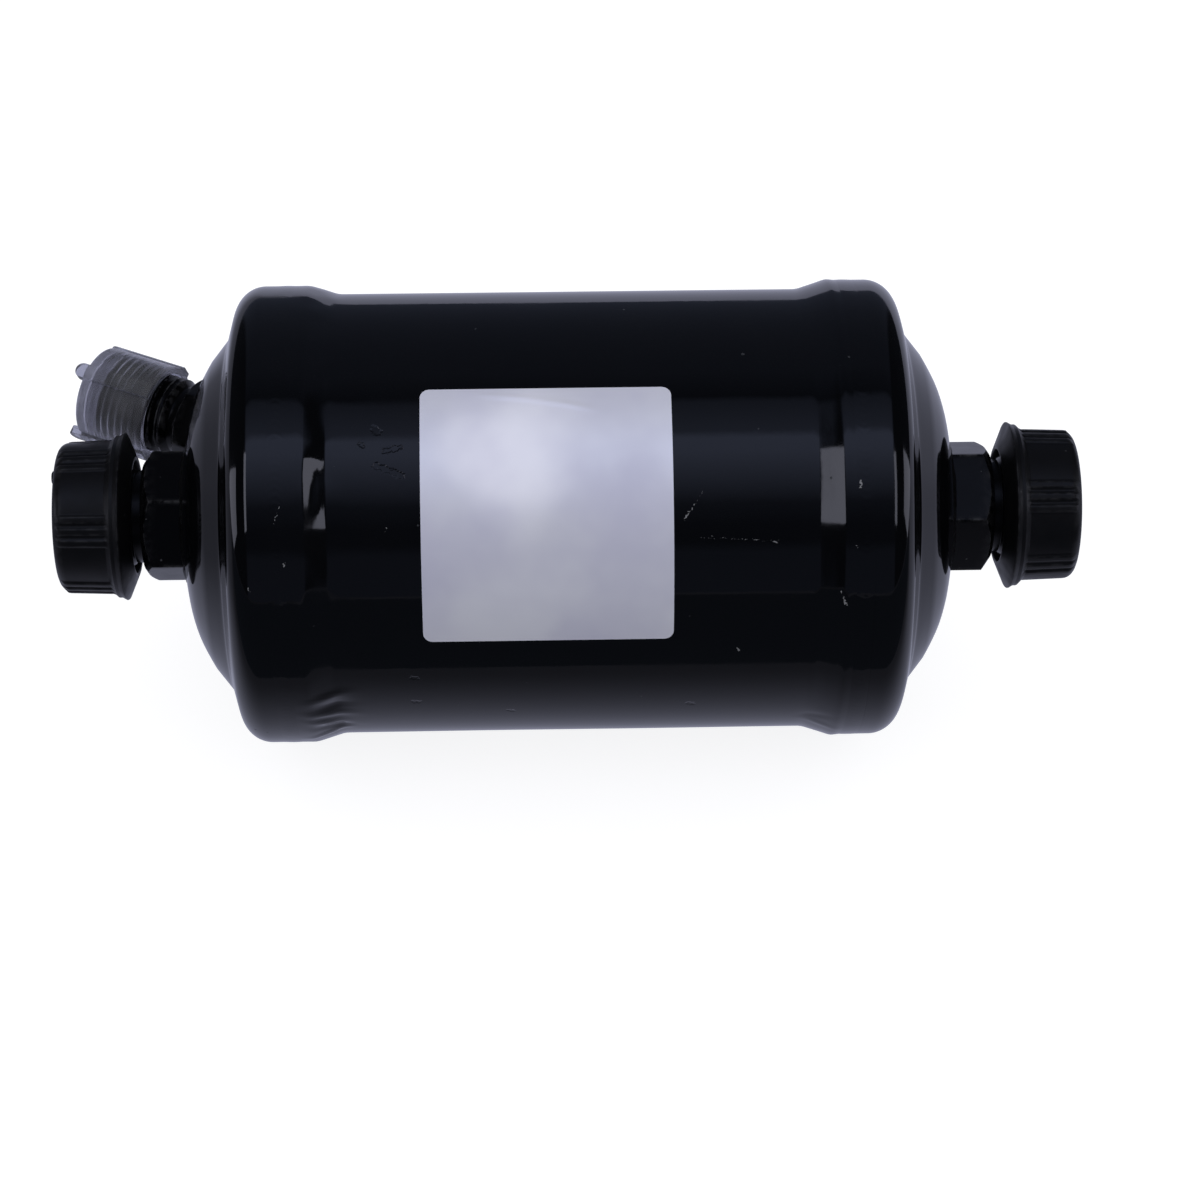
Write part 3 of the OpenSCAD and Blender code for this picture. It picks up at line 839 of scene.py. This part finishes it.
def makeSeam(side):
    s = seam
    width = can["seamEnd"] - can["shellEnd"]
    place = headPlaces[side]

    def pathAt(angle):
        x, y = s["wanderRing"] * cos(angle), s["wanderRing"] * sin(angle)
        path = []
        for row in range(s["rows"] + 1):
            share = 2 * row / s["rows"] - 1
            dome = 1 - share * share
            ring = angle * can["bandRadius"] / s["rippleLength"] + s["rippleBow"] * share * share
            ripple = s["ripple"] * sin(2 * pi * ring) * dome
            wander = s["wander"] * waves(x, y, share, s["wanderSize"]) * dome
            radius = can["bandRadius"] + s["crown"] * dome + ripple + wander
            path.append((radius, can["shellEnd"] + width * (share + 1) / 2))
        inner = can["bandRadius"] - can["wall"]
        return path + [(inner, can["seamEnd"]), (inner, can["shellEnd"])]

    piece = makePiece(side + "SeamBead", turnedMesh(place, s["steps"], pathAt))
    finishPiece(piece, paint, "vessel", "black_paint", side + "_girth_weld")


makeShell()
for side in ("outlet", "inlet"):
    makeHead(side)
    makeSeam(side)

# ports: sizes from the seat on the crown outwards
mainPort = {
    "hexFlats": 20.6,
    "hexFoot": 1.4,
    "hexLength": 6.0,
    "neckLength": 3.0,
    "relief": 1.5,
    "threadRadius": 9.55,
    "threadLength": 9.4,
    "pitch": 1.5875,
    "threadDepth": 0.82,
    "bore": 5.0,
    "socket": 6.45,
    "seat": 51.3731,
}
returnPort = {
    "hexFlats": 15.9,
    "hexFoot": 0.2,
    "hexLength": 5.5,
    "neckLength": 2.5,
    "relief": 1.05,
    "threadRadius": 7.15,
    "threadLength": 13.3,
    "pitch": 1.4111,
    "threadDepth": 0.74,
    "bore": 2.2,
    "socket": 3.6,
    "seat": 51.7393,
}
portShape = {
    "spigotLength": 6.0,
    "socketDepth": 4.0,
    "spigotWall": 1.6,
    "chamfer": 1.0,
    "hexChamfer": radians(35),
    "cornerRound": 0.45,
    "edgeRound": 0.18,
    "groove": 1.09,
    "grooveDepth": 1.58,
    "threadCrest": 0.86,
    "threadFlank": 0.72,
    "threadRunOut": 0.5,
    "turnRows": 12,
    "chamferRows": 5,
    "flankRows": (0, 0.03, 0.35, 0.7),
    "steps": 192,
}
portSides = {
    "outlet": (mainPort, radians(0), "outlet"),
    "inlet": (mainPort, radians(24), "inlet"),
    "oilReturn": (returnPort, radians(45), "oil_return"),
}


# distance from the axis to the flank of a hexagon with rounded corners
def hexRadius(angle, turn, flats, cornerRound):
    inner = flats / 2
    away = abs((angle - turn) % (pi / 3) - pi / 6)
    if inner * tan(away) <= (inner - cornerRound) * tan(pi / 6):
        return inner / cos(away)
    centre = (inner - cornerRound) / cos(pi / 6)
    swing = pi / 6 - away
    return centre * cos(swing) + sqrt(max(0, cornerRound**2 - (centre * sin(swing)) ** 2))


def threadCut(port, angle, height, start, end):
    phase = height / port["pitch"] - angle / (2 * pi)
    ridge = abs(2 * (phase - floor(phase)) - 1)
    cut = min(1, max(0, (portShape["threadCrest"] - ridge) / portShape["threadFlank"]))
    runIn = smoothRise(height, start, start + port["pitch"])
    runOut = smoothRise(end - height, 0, port["pitch"] * portShape["threadRunOut"])
    return port["threadDepth"] * cut * (runIn * runOut)


def makeFitting(side):
    port, turn, node = portSides[side]
    s = portShape
    flat = port["hexFlats"] / 2 - s["chamfer"]
    slope = tan(s["hexChamfer"])
    hexTop = port["hexLength"]
    threadStart = hexTop + port["neckLength"]
    face = threadStart + port["threadLength"]
    threadEnd = face - s["chamfer"]
    neck = port["threadRadius"] - port["relief"]
    faceRadius = port["threadRadius"] - s["chamfer"]
    groove = (port["bore"] + faceRadius) / 2
    spigot = port["socket"] + s["spigotWall"]
    edge = s["edgeRound"]
    inside = [
        (faceRadius, face, edge),
        (groove + s["groove"], face, edge),
        (groove + s["groove"], face - s["grooveDepth"], edge),
        (groove - s["groove"], face - s["grooveDepth"], edge),
        (groove - s["groove"], face, edge),
        (port["bore"], face, edge),
        (port["bore"], s["socketDepth"] - s["spigotLength"], 0),
        (port["socket"], s["socketDepth"] - s["spigotLength"], 0),
        (port["socket"], -s["spigotLength"], 0),
        (spigot, -s["spigotLength"], 0),
        (spigot, -port["hexFoot"], 0),
    ]
    threadRows = int((threadEnd - threadStart) / port["pitch"] * s["turnRows"])

    def pathAt(angle):
        reach = hexRadius(angle, turn, port["hexFlats"], s["cornerRound"])
        drop = hexTop - (reach - flat) * slope
        outside = [
            (reach, -port["hexFoot"], 0),
            (reach, drop, edge),
            (flat, hexTop, edge),
            (neck, hexTop, edge),
            (neck, threadStart - port["relief"], edge),
            (port["threadRadius"], threadStart, 0),
        ]
        path = roundedPath(outside, 3)
        path[:1] = [path[0].lerp(path[1], share) for share in s["flankRows"]]
        for row in range(1, threadRows + 1):
            height = threadStart + (threadEnd - threadStart) * row / threadRows
            cut = threadCut(port, angle, height, threadStart, face)
            path.append(Vector((port["threadRadius"] - cut, height)))
        for row in range(1, s["chamferRows"]):
            step = s["chamfer"] * row / s["chamferRows"]
            cut = threadCut(port, angle, threadEnd + step, threadStart, face)
            path.append(Vector((port["threadRadius"] - max(cut, step), threadEnd + step)))
        return path + roundedPath(inside, 3)

    piece = makePiece(side + "Fitting", turnedMesh(portPlaces[side], s["steps"], pathAt, turn=turn))
    finishPiece(piece, portPaint, "vessel", "port_paint", node + "_fitting", smoothAngle=28)


bead = {
    "foot": 0.7,
    "height": 0.25,
    "inside": 1.2,
    "ragged": (0.7, 0.6),  # slow waves, and the share of fine ones
    "raggedSize": (2.2, 0.8),
    "climb": (0.16, 0.06),
    "climbSize": (1.6, 0.6),
    "lump": 0.1,
    "lumpSize": 0.9,
    "hollow": 1.6,
    "cornerRound": 0.3,
    "overlap": 0.15,
    "sunk": (0.08, 0.05),  # at the foot and under the hexagon
    "rows": 8,
    "steps": 300,
}


def makeBead(side):
    b = bead
    port, turn, node = portSides[side]
    place = portPlaces[side]
    corner = port["hexFlats"] / 2 / cos(pi / 6)
    inside = port["hexFlats"] / 2 - b["inside"]
    seed = 31.0 * len(side)
    footSunk, insideSunk = b["sunk"]

    def crownDrop(radius, angle):
        drop = sqrt(head["crownRadius"] ** 2 - radius**2) - port["seat"]
        spot = place @ Vector((radius * cos(angle), radius * sin(angle), drop))
        return drop + crownForm(sqrt(spot.y**2 + spot.z**2))

    def twoWaves(angle, depth, amounts, sizes):
        x, y = corner * cos(angle), corner * sin(angle)
        return sum(a * waves(x, y, depth, size) for a, size in zip(amounts, sizes))

    def pathAt(angle):
        slow, fine = b["ragged"]
        ragged = slow * twoWaves(angle, seed, (1, fine), b["raggedSize"])
        root = corner + b["foot"] + ragged
        reach = hexRadius(angle, turn, port["hexFlats"], b["cornerRound"]) - b["overlap"]
        climb = crownDrop(reach, angle) + b["height"]
        climb += twoWaves(angle, seed + 9, b["climb"], b["climbSize"])
        path = [Vector((inside, crownDrop(inside, angle) - insideSunk))]
        for row in range(b["rows"] + 1):
            share = row / b["rows"]
            radius = root + (reach - root) * share
            x, y = radius * cos(angle), radius * sin(angle)
            lump = b["lump"] * sin(pi * share) * (1 + waves(x, y, seed + share, b["lumpSize"]))
            rise = share ** b["hollow"]
            height = (crownDrop(radius, angle) - footSunk) * (1 - rise) + climb * rise + lump
            path.append(Vector((radius, height)))
        return path + [Vector((inside, climb))]

    piece = makePiece(side + "Bead", turnedMesh(place, b["steps"], pathAt))
    finishPiece(piece, beadBlack, "vessel", "weld_bead", node + "_bead", smoothAngle=60)


for side in portSides:
    makeFitting(side)
    makeBead(side)

blackCap = {
    "mouth": 7.5,
    "radius": 13.2,
    "length": 13.2,
    "endWall": 1.6,
    "lipRise": 1.4,
    "collarRise": 0.9,
    "mouthWidth": 0.6,
    "lipLength": 2.6,
    "collarLength": 0.6,
    "draft": 0.25,
    "edgeRound": 1.8,
    "threadRadius": 9.85,
    "groups": 6,
    "ribs": 3,
    "ribPitch": radians(9),
    "ribWidth": 1.3,
    "ribRise": 0.35,
    "ribEdge": 0.22,
    "ribFoot": (0.3, 1.1),
    "ribTop": (0.3, 1.2),
    "endRings": (11.0, 9.0, 6.5, 4.0, 2.0, 0.0),
    "innerRing": 5.0,
    "innerRound": 0.4,
    "innerRow": 8.0,
    "gateRadius": 1.25,
    "gateHeight": 0.6,
    "gateOff": 9.0,
    "steps": 432,
}
capTurns = {"outlet": radians(42), "inlet": radians(1)}


def ribShare(angle, radius):
    c = blackCap
    spacing = 2 * pi / c["groups"]
    away = (angle + spacing / 2) % spacing - spacing / 2
    crest, foot = c["ribWidth"] / 2 - c["ribEdge"], c["ribWidth"] / 2 + c["ribEdge"]
    share = 0
    for rib in range(c["ribs"]):
        middle = (rib - (c["ribs"] - 1) / 2) * c["ribPitch"]
        share = max(share, 1 - smoothRise(abs(away - middle) * radius, crest, foot))
    return share


def makeBlackCap(side):
    c = blackCap
    r, low, high = c["radius"], c["lipLength"], c["lipLength"] + c["collarLength"]
    end = r - c["draft"]
    barrelTop = c["length"] - c["edgeRound"]
    outside = [
        (c["threadRadius"], high, 0),
        (c["threadRadius"], 0, 0.15),
        (c["threadRadius"] + c["mouthWidth"], 0, 0.2),
        (r + c["lipRise"], low * 2 / 3, 0.15),
        (r + c["collarRise"], low, 0.2),
        (r + c["collarRise"], high, 0.2),
        (r, high + c["collarRise"], 0.3),
        (end, barrelTop, 0),
    ]
    path = finePath(roundedPath(outside, 3), 0.7)
    for row in range(1, 7):
        a = pi / 2 * row / 6
        x, y = end - c["edgeRound"] * (1 - cos(a)), barrelTop + c["edgeRound"] * sin(a)
        path.append(Vector((x, y)))
    path += [Vector((radius, c["length"])) for radius in c["endRings"]]
    bottom = c["length"] - c["endWall"]
    path += [Vector((radius, bottom)) for radius in (0.0, c["innerRing"])]
    path.append(Vector((c["threadRadius"] - c["innerRound"], bottom)))
    path.append(Vector((c["threadRadius"], bottom - c["innerRound"])))
    path.append(Vector((c["threadRadius"], c["innerRow"])))

    def pathAt(angle):
        rib = c["ribRise"] * ribShare(angle, r)
        shaped = []
        for p in path:
            radius = p.x
            if radius > c["threadRadius"] + 1 and p.y > high:
                rise = smoothRise(p.y - high, *c["ribFoot"])
                radius += rib * rise * (1 - smoothRise(p.y - barrelTop, *c["ribTop"]))
            shaped.append(Vector((radius, p.y + c["mouth"])))
        return shaped

    place = portPlaces[side] @ Matrix.Rotation(capTurns[side], 4, "Z")
    gatePlace = place @ Matrix.Translation((c["gateOff"], 0, c["mouth"] + c["length"]))
    gate, gateTop = c["gateRadius"], c["gateHeight"]
    gatePath = [(0, -0.5), (gate + 0.1, -0.5), (gate + 0.06, 0), (gate, 0.12)]
    gatePath += [(gate - 0.1, 0.45), (gate - 0.35, gateTop), (0, gateTop - 0.08)]
    piece = makePiece(
        side + "Cap",
        turnedMesh(place, c["steps"], pathAt),
        turnedMesh(gatePlace, 40, lambda angle: gatePath, closed=False),
    )
    finishPiece(piece, capPlastic, side + "_cover", "black_cap", side + "_cap", smoothAngle=40)


returnCap = {
    "mouth": 10.7,
    "radius": 8.7,
    "length": 13.8,
    "endWall": 1.4,
    "edgeRound": 1.0,
    "threadRadius": 7.45,
    "pitch": 1.4111,
    "groove": 0.22,
    "wings": 4,
    "wingWidth": 2.8,
    "wingRise": 0.5,
    "wingReach": 1.6,
    "wingThick": 1.48,
    "wingInset": 0.18,
    "wingArc": 14,
    "turnRows": 8,
    "threadStart": 0.4,
    "threadEnd": 0.5,
    "turn": radians(65),
    "steps": 160,
}


def wingMesh(place):
    c = returnCap
    half = c["wingWidth"] / 2
    straight = c["length"] + c["wingReach"] - half
    turns = [pi * step / c["wingArc"] for step in range(c["wingArc"] + 1)]
    rim = [(-half * cos(turn), straight + half * sin(turn)) for turn in turns]
    outline = [(-half, 0.0)] + rim + [(half, 0.0)]
    high, inset = c["radius"] + c["wingRise"], c["wingInset"]
    layers = [(high - c["wingThick"], 0), (high - inset, 0)]
    layers += [(high - 0.05, inset * 0.3), (high, inset)]
    verts = []
    for depth, shrink in layers:
        for y, z in outline:
            drop = shrink if z > straight else 0
            verts.append(place @ Vector((depth, y * (1 - shrink / half), z - drop)) * mm)
    count = len(outline)
    faces = [tuple(range(count)), tuple(reversed(range(3 * count, 4 * count)))]
    for layer in range(3):
        low, top = layer * count, (layer + 1) * count
        for step in range(count):
            ahead = (step + 1) % count
            faces.append((low + step, low + ahead, top + ahead, top + step))
    return verts, faces


def makeReturnCap():
    c = returnCap
    bottom = c["length"] - c["endWall"]
    top = bottom - c["threadEnd"]
    corners = [
        (c["threadRadius"], c["threadStart"], 0),
        (c["threadRadius"], 0, 0.2),
        (c["radius"], 0, 0.25),
        (c["radius"], c["length"], c["edgeRound"]),
        (0, c["length"], 0),
        (0, bottom, 0),
        (c["threadRadius"] - c["threadEnd"], bottom, 0),
        (c["threadRadius"], top, 0),
    ]
    path = finePath(roundedPath(corners, 6), 1.2)
    threadLength = bottom - c["threadEnd"] - c["threadStart"]
    turns = threadLength / c["pitch"]
    rows = int(turns * c["turnRows"])

    def pathAt(angle):
        thread = []
        for row in range(1, rows):
            share = row / rows
            ring = 0.5 - 0.5 * cos(2 * pi * turns * share - angle)
            radius = c["threadRadius"] + c["groove"] * ring * sin(pi * share) ** 0.3
            thread.append(Vector((radius, top - threadLength * share)))
        return path + thread

    place = portPlaces["oilReturn"] @ Matrix.Translation((0, 0, c["mouth"]))
    place = place @ Matrix.Rotation(c["turn"], 4, "Z")
    piece = makePiece("oilReturnCap", turnedMesh(place, c["steps"], pathAt))
    for wing in range(c["wings"]):
        turned = place @ Matrix.Rotation(2 * pi * wing / c["wings"], 4, "Z")
        combine(piece, makePiece("wing", wingMesh(turned)), "UNION")
    finishPiece(
        piece, clearPlastic, "oil_return_cover", "clear_cap", "oil_return_cap", smoothAngle=35
    )


makeBlackCap("outlet")
makeBlackCap("inlet")
makeReturnCap()

label = {
    "length": 41.2,
    "width": 43.6,
    "thickness": 0.15,
    "sunk": 0.02,
    "corner": 1.6,
    "cornerRows": 8,
    "x": -3.9,
    "elevation": 41.0,
    "rows": 96,
    "columns": 96,
}

# creases in the film: x and distance up from the label's middle, half length, half width,
# height, slant
labelCreases = [
    (-6.5, 20.2, 4.0, 0.45, 0.16, -0.10),
    (-0.5, 19.4, 5.0, 0.45, 0.17, -0.18),
    (4.5, 18.5, 3.0, 0.40, 0.11, -0.25),
]


def labelLift(x, up):
    lift = 0
    for creaseX, creaseUp, halfLength, halfWidth, height, slant in labelCreases:
        along = x - creaseX
        across = up - creaseUp - slant * along
        lift += height * exp(-((along / halfLength) ** 2) - (across / halfWidth) ** 2)
    return lift


def makeLabel():
    s = label
    halfWidth, halfLength, corner = s["width"] / 2, s["length"] / 2, s["corner"]
    middle = halfWidth - corner
    turns = [pi / 2 * row / s["cornerRows"] for row in range(1, s["cornerRows"] + 1)]
    upper = [halfWidth - corner * (1 - sin(turn)) for turn in turns]
    lower = [-up for up in upper[::-1]]
    straight = [-middle + 2 * middle * row / s["rows"] for row in range(s["rows"] + 1)]
    ups = lower + straight + upper
    verts, faces = [], []
    for layer in (s["thickness"], 0.0):
        for up in ups:
            past = max(0, abs(up) - middle)
            reach = halfLength - corner + sqrt(max(0, corner**2 - past**2))
            elevation = radians(s["elevation"]) + up / can["waistRadius"]
            for column in range(s["columns"] + 1):
                x = s["x"] + reach * (2 * column / s["columns"] - 1)
                angle = -(pi / 2 + elevation)
                lift = layer + canUneven(x, angle)
                lift += labelLift(x - s["x"], up) if layer else -s["sunk"]
                radius = can["waistRadius"] + lift
                verts.append(Vector((x, -radius * cos(elevation), radius * sin(elevation))) * mm)
    wide, tall = s["columns"] + 1, len(ups)
    under = wide * tall
    for row in range(tall - 1):
        for column in range(wide - 1):
            a = row * wide + column
            faces.append((a, a + 1, a + wide + 1, a + wide))
            faces.append((under + a, under + a + wide, under + a + wide + 1, under + a + 1))
    rim = list(range(wide))
    rim += [row * wide + wide - 1 for row in range(1, tall)]
    rim += [(tall - 1) * wide + column for column in range(wide - 2, -1, -1)]
    rim += [row * wide for row in range(tall - 2, 0, -1)]
    for here, ahead in zip(rim, rim[1:] + rim[:1]):
        faces.append((here, ahead, under + ahead, under + here))
    piece = makePiece("labelFilmPiece", (verts, faces))
    finishPiece(piece, labelFilm, "vessel", "label_film", "label", smoothAngle=40)


makeLabel()

# inner pieces and seals keep the frame's own meshes
innerFinish = {
    "inlet_standpipe": steel,
    "standpipe_plug": steel,
    "lower_screen": steel,
    "upper_screen": steel,
    "lower_keeper": steel,
    "upper_keeper": steel,
    "oil_strainer": steel,
    "mesh_pad": wirePad,
    "outlet_seal": rubber,
    "inlet_seal": rubber,
    "oil_return_seal": rubber,
}
for node, material in innerFinish.items():
    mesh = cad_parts[node].data
    mesh.materials.clear()
    mesh.materials.append(material)
print("inner pieces finished")

# table top, evenly bright to the camera, whose reflection is painted: glossy rays see a glow ramped
# by position, with a dark card in front of it that only reflections see, a painted dark reflection
stageLook = {
    "top": -39.86,
    "size": 4000.0,
    "camera": 0.86,
    "cameraTint": (0.99, 0.99, 1, 1),
    # painted reflection: glow, tint and albedo that only glossy rays see, ramped over the table
    "paintedReflectionFront": 0.085,
    "paintedReflectionBack": 0.35,
    "frontEdge": -72.0,
    "backEdge": -28.0,
    "sideStart": -80.0,
    "sideEnd": -200.0,
    "sideShare": 0.42,
    "farStart": 40.0,
    "farEnd": 150.0,
    "farShare": 1.2,
    "paintedReflectionTint": (0.92, 0.95, 1.25, 1),
    "through": 0.55,
    "albedo": (0.30, 0.30, 0.30, 1),
    "paintedReflectionAlbedo": (0.06, 0.06, 0.07, 1),
    "cardNear": -76.0,
    "cardFar": -1200.0,
    "cardHalf": 1200.0,
    "cardLift": 0.3,
    "paintedReflectionCardTone": (0.048, 0.056, 0.078, 1),
}


def flatSheet(name, left, near, right, far, height):
    outline = ((left, near), (right, near), (right, far), (left, far))
    corners = [Vector((x, y, height)) * mm for x, y in outline]
    sheet = makePiece(name, (corners, [(0, 1, 2, 3)]))
    return sheet


def emptyTree(holder):
    holder.use_nodes = True
    holder.node_tree.nodes.clear()
    return holder.node_tree


def makeTable():
    s = stageLook
    half = s["size"] / 2
    top = flatSheet("tableTop", -half, -half, half, half, s["top"])
    material = bpy.data.materials.new("paleTable")
    top.data.materials.append(material)
    tree = emptyTree(material)
    ray = addNode(tree, "ShaderNodeLightPath").outputs
    shine = sums(tree, "MULTIPLY", ray["Is Camera Ray"], s["camera"])
    place = addNode(tree, "ShaderNodeNewGeometry").outputs["Position"]
    axes = addNode(tree, "ShaderNodeSeparateXYZ", {0: place}).outputs
    # painted reflection: glossy rays see a glow that is dim at the front, brighter under and behind
    # the can and fading towards the sides, with a bluish tint and a darker albedo
    front, back = s["frontEdge"] * mm, s["backEdge"] * mm
    paintedReflection = ranged(tree, axes["Y"], front, back, s["paintedReflectionFront"], s["paintedReflectionBack"])
    start, end = s["sideStart"] * mm, s["sideEnd"] * mm
    aside = ranged(tree, axes["X"], start, end, 1.0, s["sideShare"])
    start, end = s["farStart"] * mm, s["farEnd"] * mm
    far = ranged(tree, axes["Y"], start, end, 1.0, s["farShare"])
    paintedReflection = sums(tree, "MULTIPLY", sums(tree, "MULTIPLY", paintedReflection, aside), far)
    shine = sums(tree, "ADD", shine, sums(tree, "MULTIPLY", ray["Is Glossy Ray"], paintedReflection))
    through = sums(tree, "MULTIPLY", ray["Is Transmission Ray"], s["through"])
    shine = sums(tree, "ADD", shine, through)
    tint = blended(tree, ray["Is Glossy Ray"], s["cameraTint"], s["paintedReflectionTint"])
    glow = addNode(tree, "ShaderNodeEmission", {"Color": tint, "Strength": shine}).outputs[0]
    tone = blended(tree, ray["Is Glossy Ray"], s["albedo"], s["paintedReflectionAlbedo"])
    matt = addNode(tree, "ShaderNodeBsdfDiffuse", {"Color": tone}).outputs[0]
    both = addNode(tree, "ShaderNodeAddShader", {0: glow, 1: matt}).outputs[0]
    addNode(tree, "ShaderNodeOutputMaterial", {"Surface": both})


def makeCard():
    s = stageLook
    half, height = s["cardHalf"], s["top"] + s["cardLift"]
    card = flatSheet("darkCard", -half, s["cardFar"], half, s["cardNear"], height)
    material = bpy.data.materials.new("darkCard")
    card.data.materials.append(material)
    tree = emptyTree(material)
    # painted dark reflection: a faintly glowing sheet that only glossy rays see, darkening the
    # table's reflection in front of the can
    glow = addNode(tree, "ShaderNodeEmission", {"Color": s["paintedReflectionCardTone"]}).outputs[0]
    addNode(tree, "ShaderNodeOutputMaterial", {"Surface": glow})
    card.visible_camera = card.visible_diffuse = False
    card.visible_shadow = card.visible_transmission = False


roomLook = {
    "tint": (0.87, 1.0, 1.5),
    "ends": (0.018, 0.020, 0.028, 1),
    "endsEdge": (0.40, 0.50),
    "fill": (0.95, 0.97, 1, 1),
    "fillStrength": 0.80,
}

# room as reflections see it, from the front horizon over the top to the back horizon
roomTones = [
    (0.00, 0.085),
    (0.11, 0.080),
    (0.14, 0.035),
    (0.19, 0.038),
    (0.25, 0.075),
    (0.28, 0.165),
    (0.40, 0.50),
    (0.438, 0.52),
    (0.458, 0.25),
    (0.548, 0.14),
    (0.566, 0.040),
    (0.65, 0.072),
    (1.00, 0.080),
]


def makeRoom():
    look = roomLook
    scene.world = bpy.data.worlds.new("studioRoom")
    tree = emptyTree(scene.world)
    ray = addNode(tree, "ShaderNodeLightPath").outputs
    way = addNode(tree, "ShaderNodeTexCoord").outputs["Generated"]
    axes = addNode(tree, "ShaderNodeSeparateXYZ", {0: way}).outputs
    climb = sums(tree, "ARCTAN2", axes["Z"], sums(tree, "MULTIPLY", axes["Y"], -1.0))
    ramp = addNode(tree, "ShaderNodeValToRGB", {0: sums(tree, "DIVIDE", climb, pi)})
    stops = ramp.color_ramp.elements
    while len(stops) > 1:
        stops.remove(stops[-1])
    for index, (place, tone) in enumerate(roomTones):
        stop = stops[0] if index == 0 else stops.new(place)
        stop.position = place
        stop.color = (*(tone * part for part in look["tint"]), 1)
    aside = ranged(tree, sums(tree, "ABSOLUTE", axes["X"]), *look["endsEdge"])
    tone = blended(tree, aside, ramp.outputs[0], look["ends"])

    def background(colour, strength=1.0):
        values = {"Color": colour, "Strength": strength}
        return addNode(tree, "ShaderNodeBackground", values).outputs[0]

    def pick(share, no, yes):
        return addNode(tree, "ShaderNodeMixShader", {0: share, 1: no, 2: yes}).outputs[0]

    fill = background(look["fill"], look["fillStrength"])
    lit = pick(ray["Is Glossy Ray"], fill, background(tone))
    seen = pick(ray["Is Camera Ray"], lit, background((1, 1, 1, 1)))
    addNode(tree, "ShaderNodeOutputWorld", {"Surface": seen})


boxTint = (0.88, 0.90, 1.10)

# soft boxes beside the camera and at the can's ends: sideways share, climb, distance, width,
# height, radiance
softBoxes = {
    "boxRight": (0.545, 51.8, 1800, 260, 1040, 1.9),
    "boxLeft": (-0.512, 53.9, 1800, 240, 1150, 2.0),
    "endRight": (0.99, 64.0, 1800, 1000, 745, 1.5),
    "endLeft": (-0.99, 54.0, 1800, 1000, 745, 1.5),
}


def makeSoftBoxes():
    for name, (aside, climb, distance, width, height, radiance) in softBoxes.items():
        light = bpy.data.lights.new(name, "AREA")
        light.shape = "RECTANGLE"
        light.size, light.size_y = width * mm, height * mm
        light.energy = radiance * pi * light.size * light.size_y
        light.color = boxTint
        lamp = bpy.data.objects.new(name, light)
        e, across = radians(climb), sqrt(1 - aside * aside)
        way = Vector((aside, -across * cos(e), across * sin(e)))
        upward = Vector((0, sin(e), cos(e)))
        lamp.matrix_world = placeAt(way * distance * mm, upward.cross(way), upward, way)
        scene.collection.objects.link(lamp)


# camera: its place in mm, where the can's middle falls in the frame's pixels, and its roll
shot = {
    "place": (-7.5, -408.7, 368.0),
    "middle": (568.0, 510.8),
    "frame": 1200.0,
    "lens": 94.45,
    "sensor": 36.0,
    "roll": -0.06,
}


def makeCamera():
    data = bpy.data.cameras.new("shot")
    data.lens, data.sensor_width = shot["lens"], shot["sensor"]
    data.clip_start, data.clip_end = 0.01, 20
    camera = bpy.data.objects.new("shot", data)
    place = Vector(shot["place"]) * mm
    focal = shot["lens"] / shot["sensor"] * shot["frame"]
    (across, down), half = shot["middle"], shot["frame"] / 2
    aside = Vector(((across - half) / focal, (half - down) / focal, -1))
    facing = (-place).to_track_quat("-Z", "Y")
    offset = Vector((0, 0, -1)).rotation_difference(aside)
    roll = Matrix.Rotation(radians(shot["roll"]), 3, "Z").to_quaternion()
    camera.location = place
    camera.rotation_mode = "QUATERNION"
    camera.rotation_quaternion = facing @ roll @ offset.inverted()
    scene.collection.objects.link(camera)
    scene.camera = camera


makeTable()
makeCard()
makeRoom()
makeSoftBoxes()
makeCamera()
print("stage, lights and camera made")
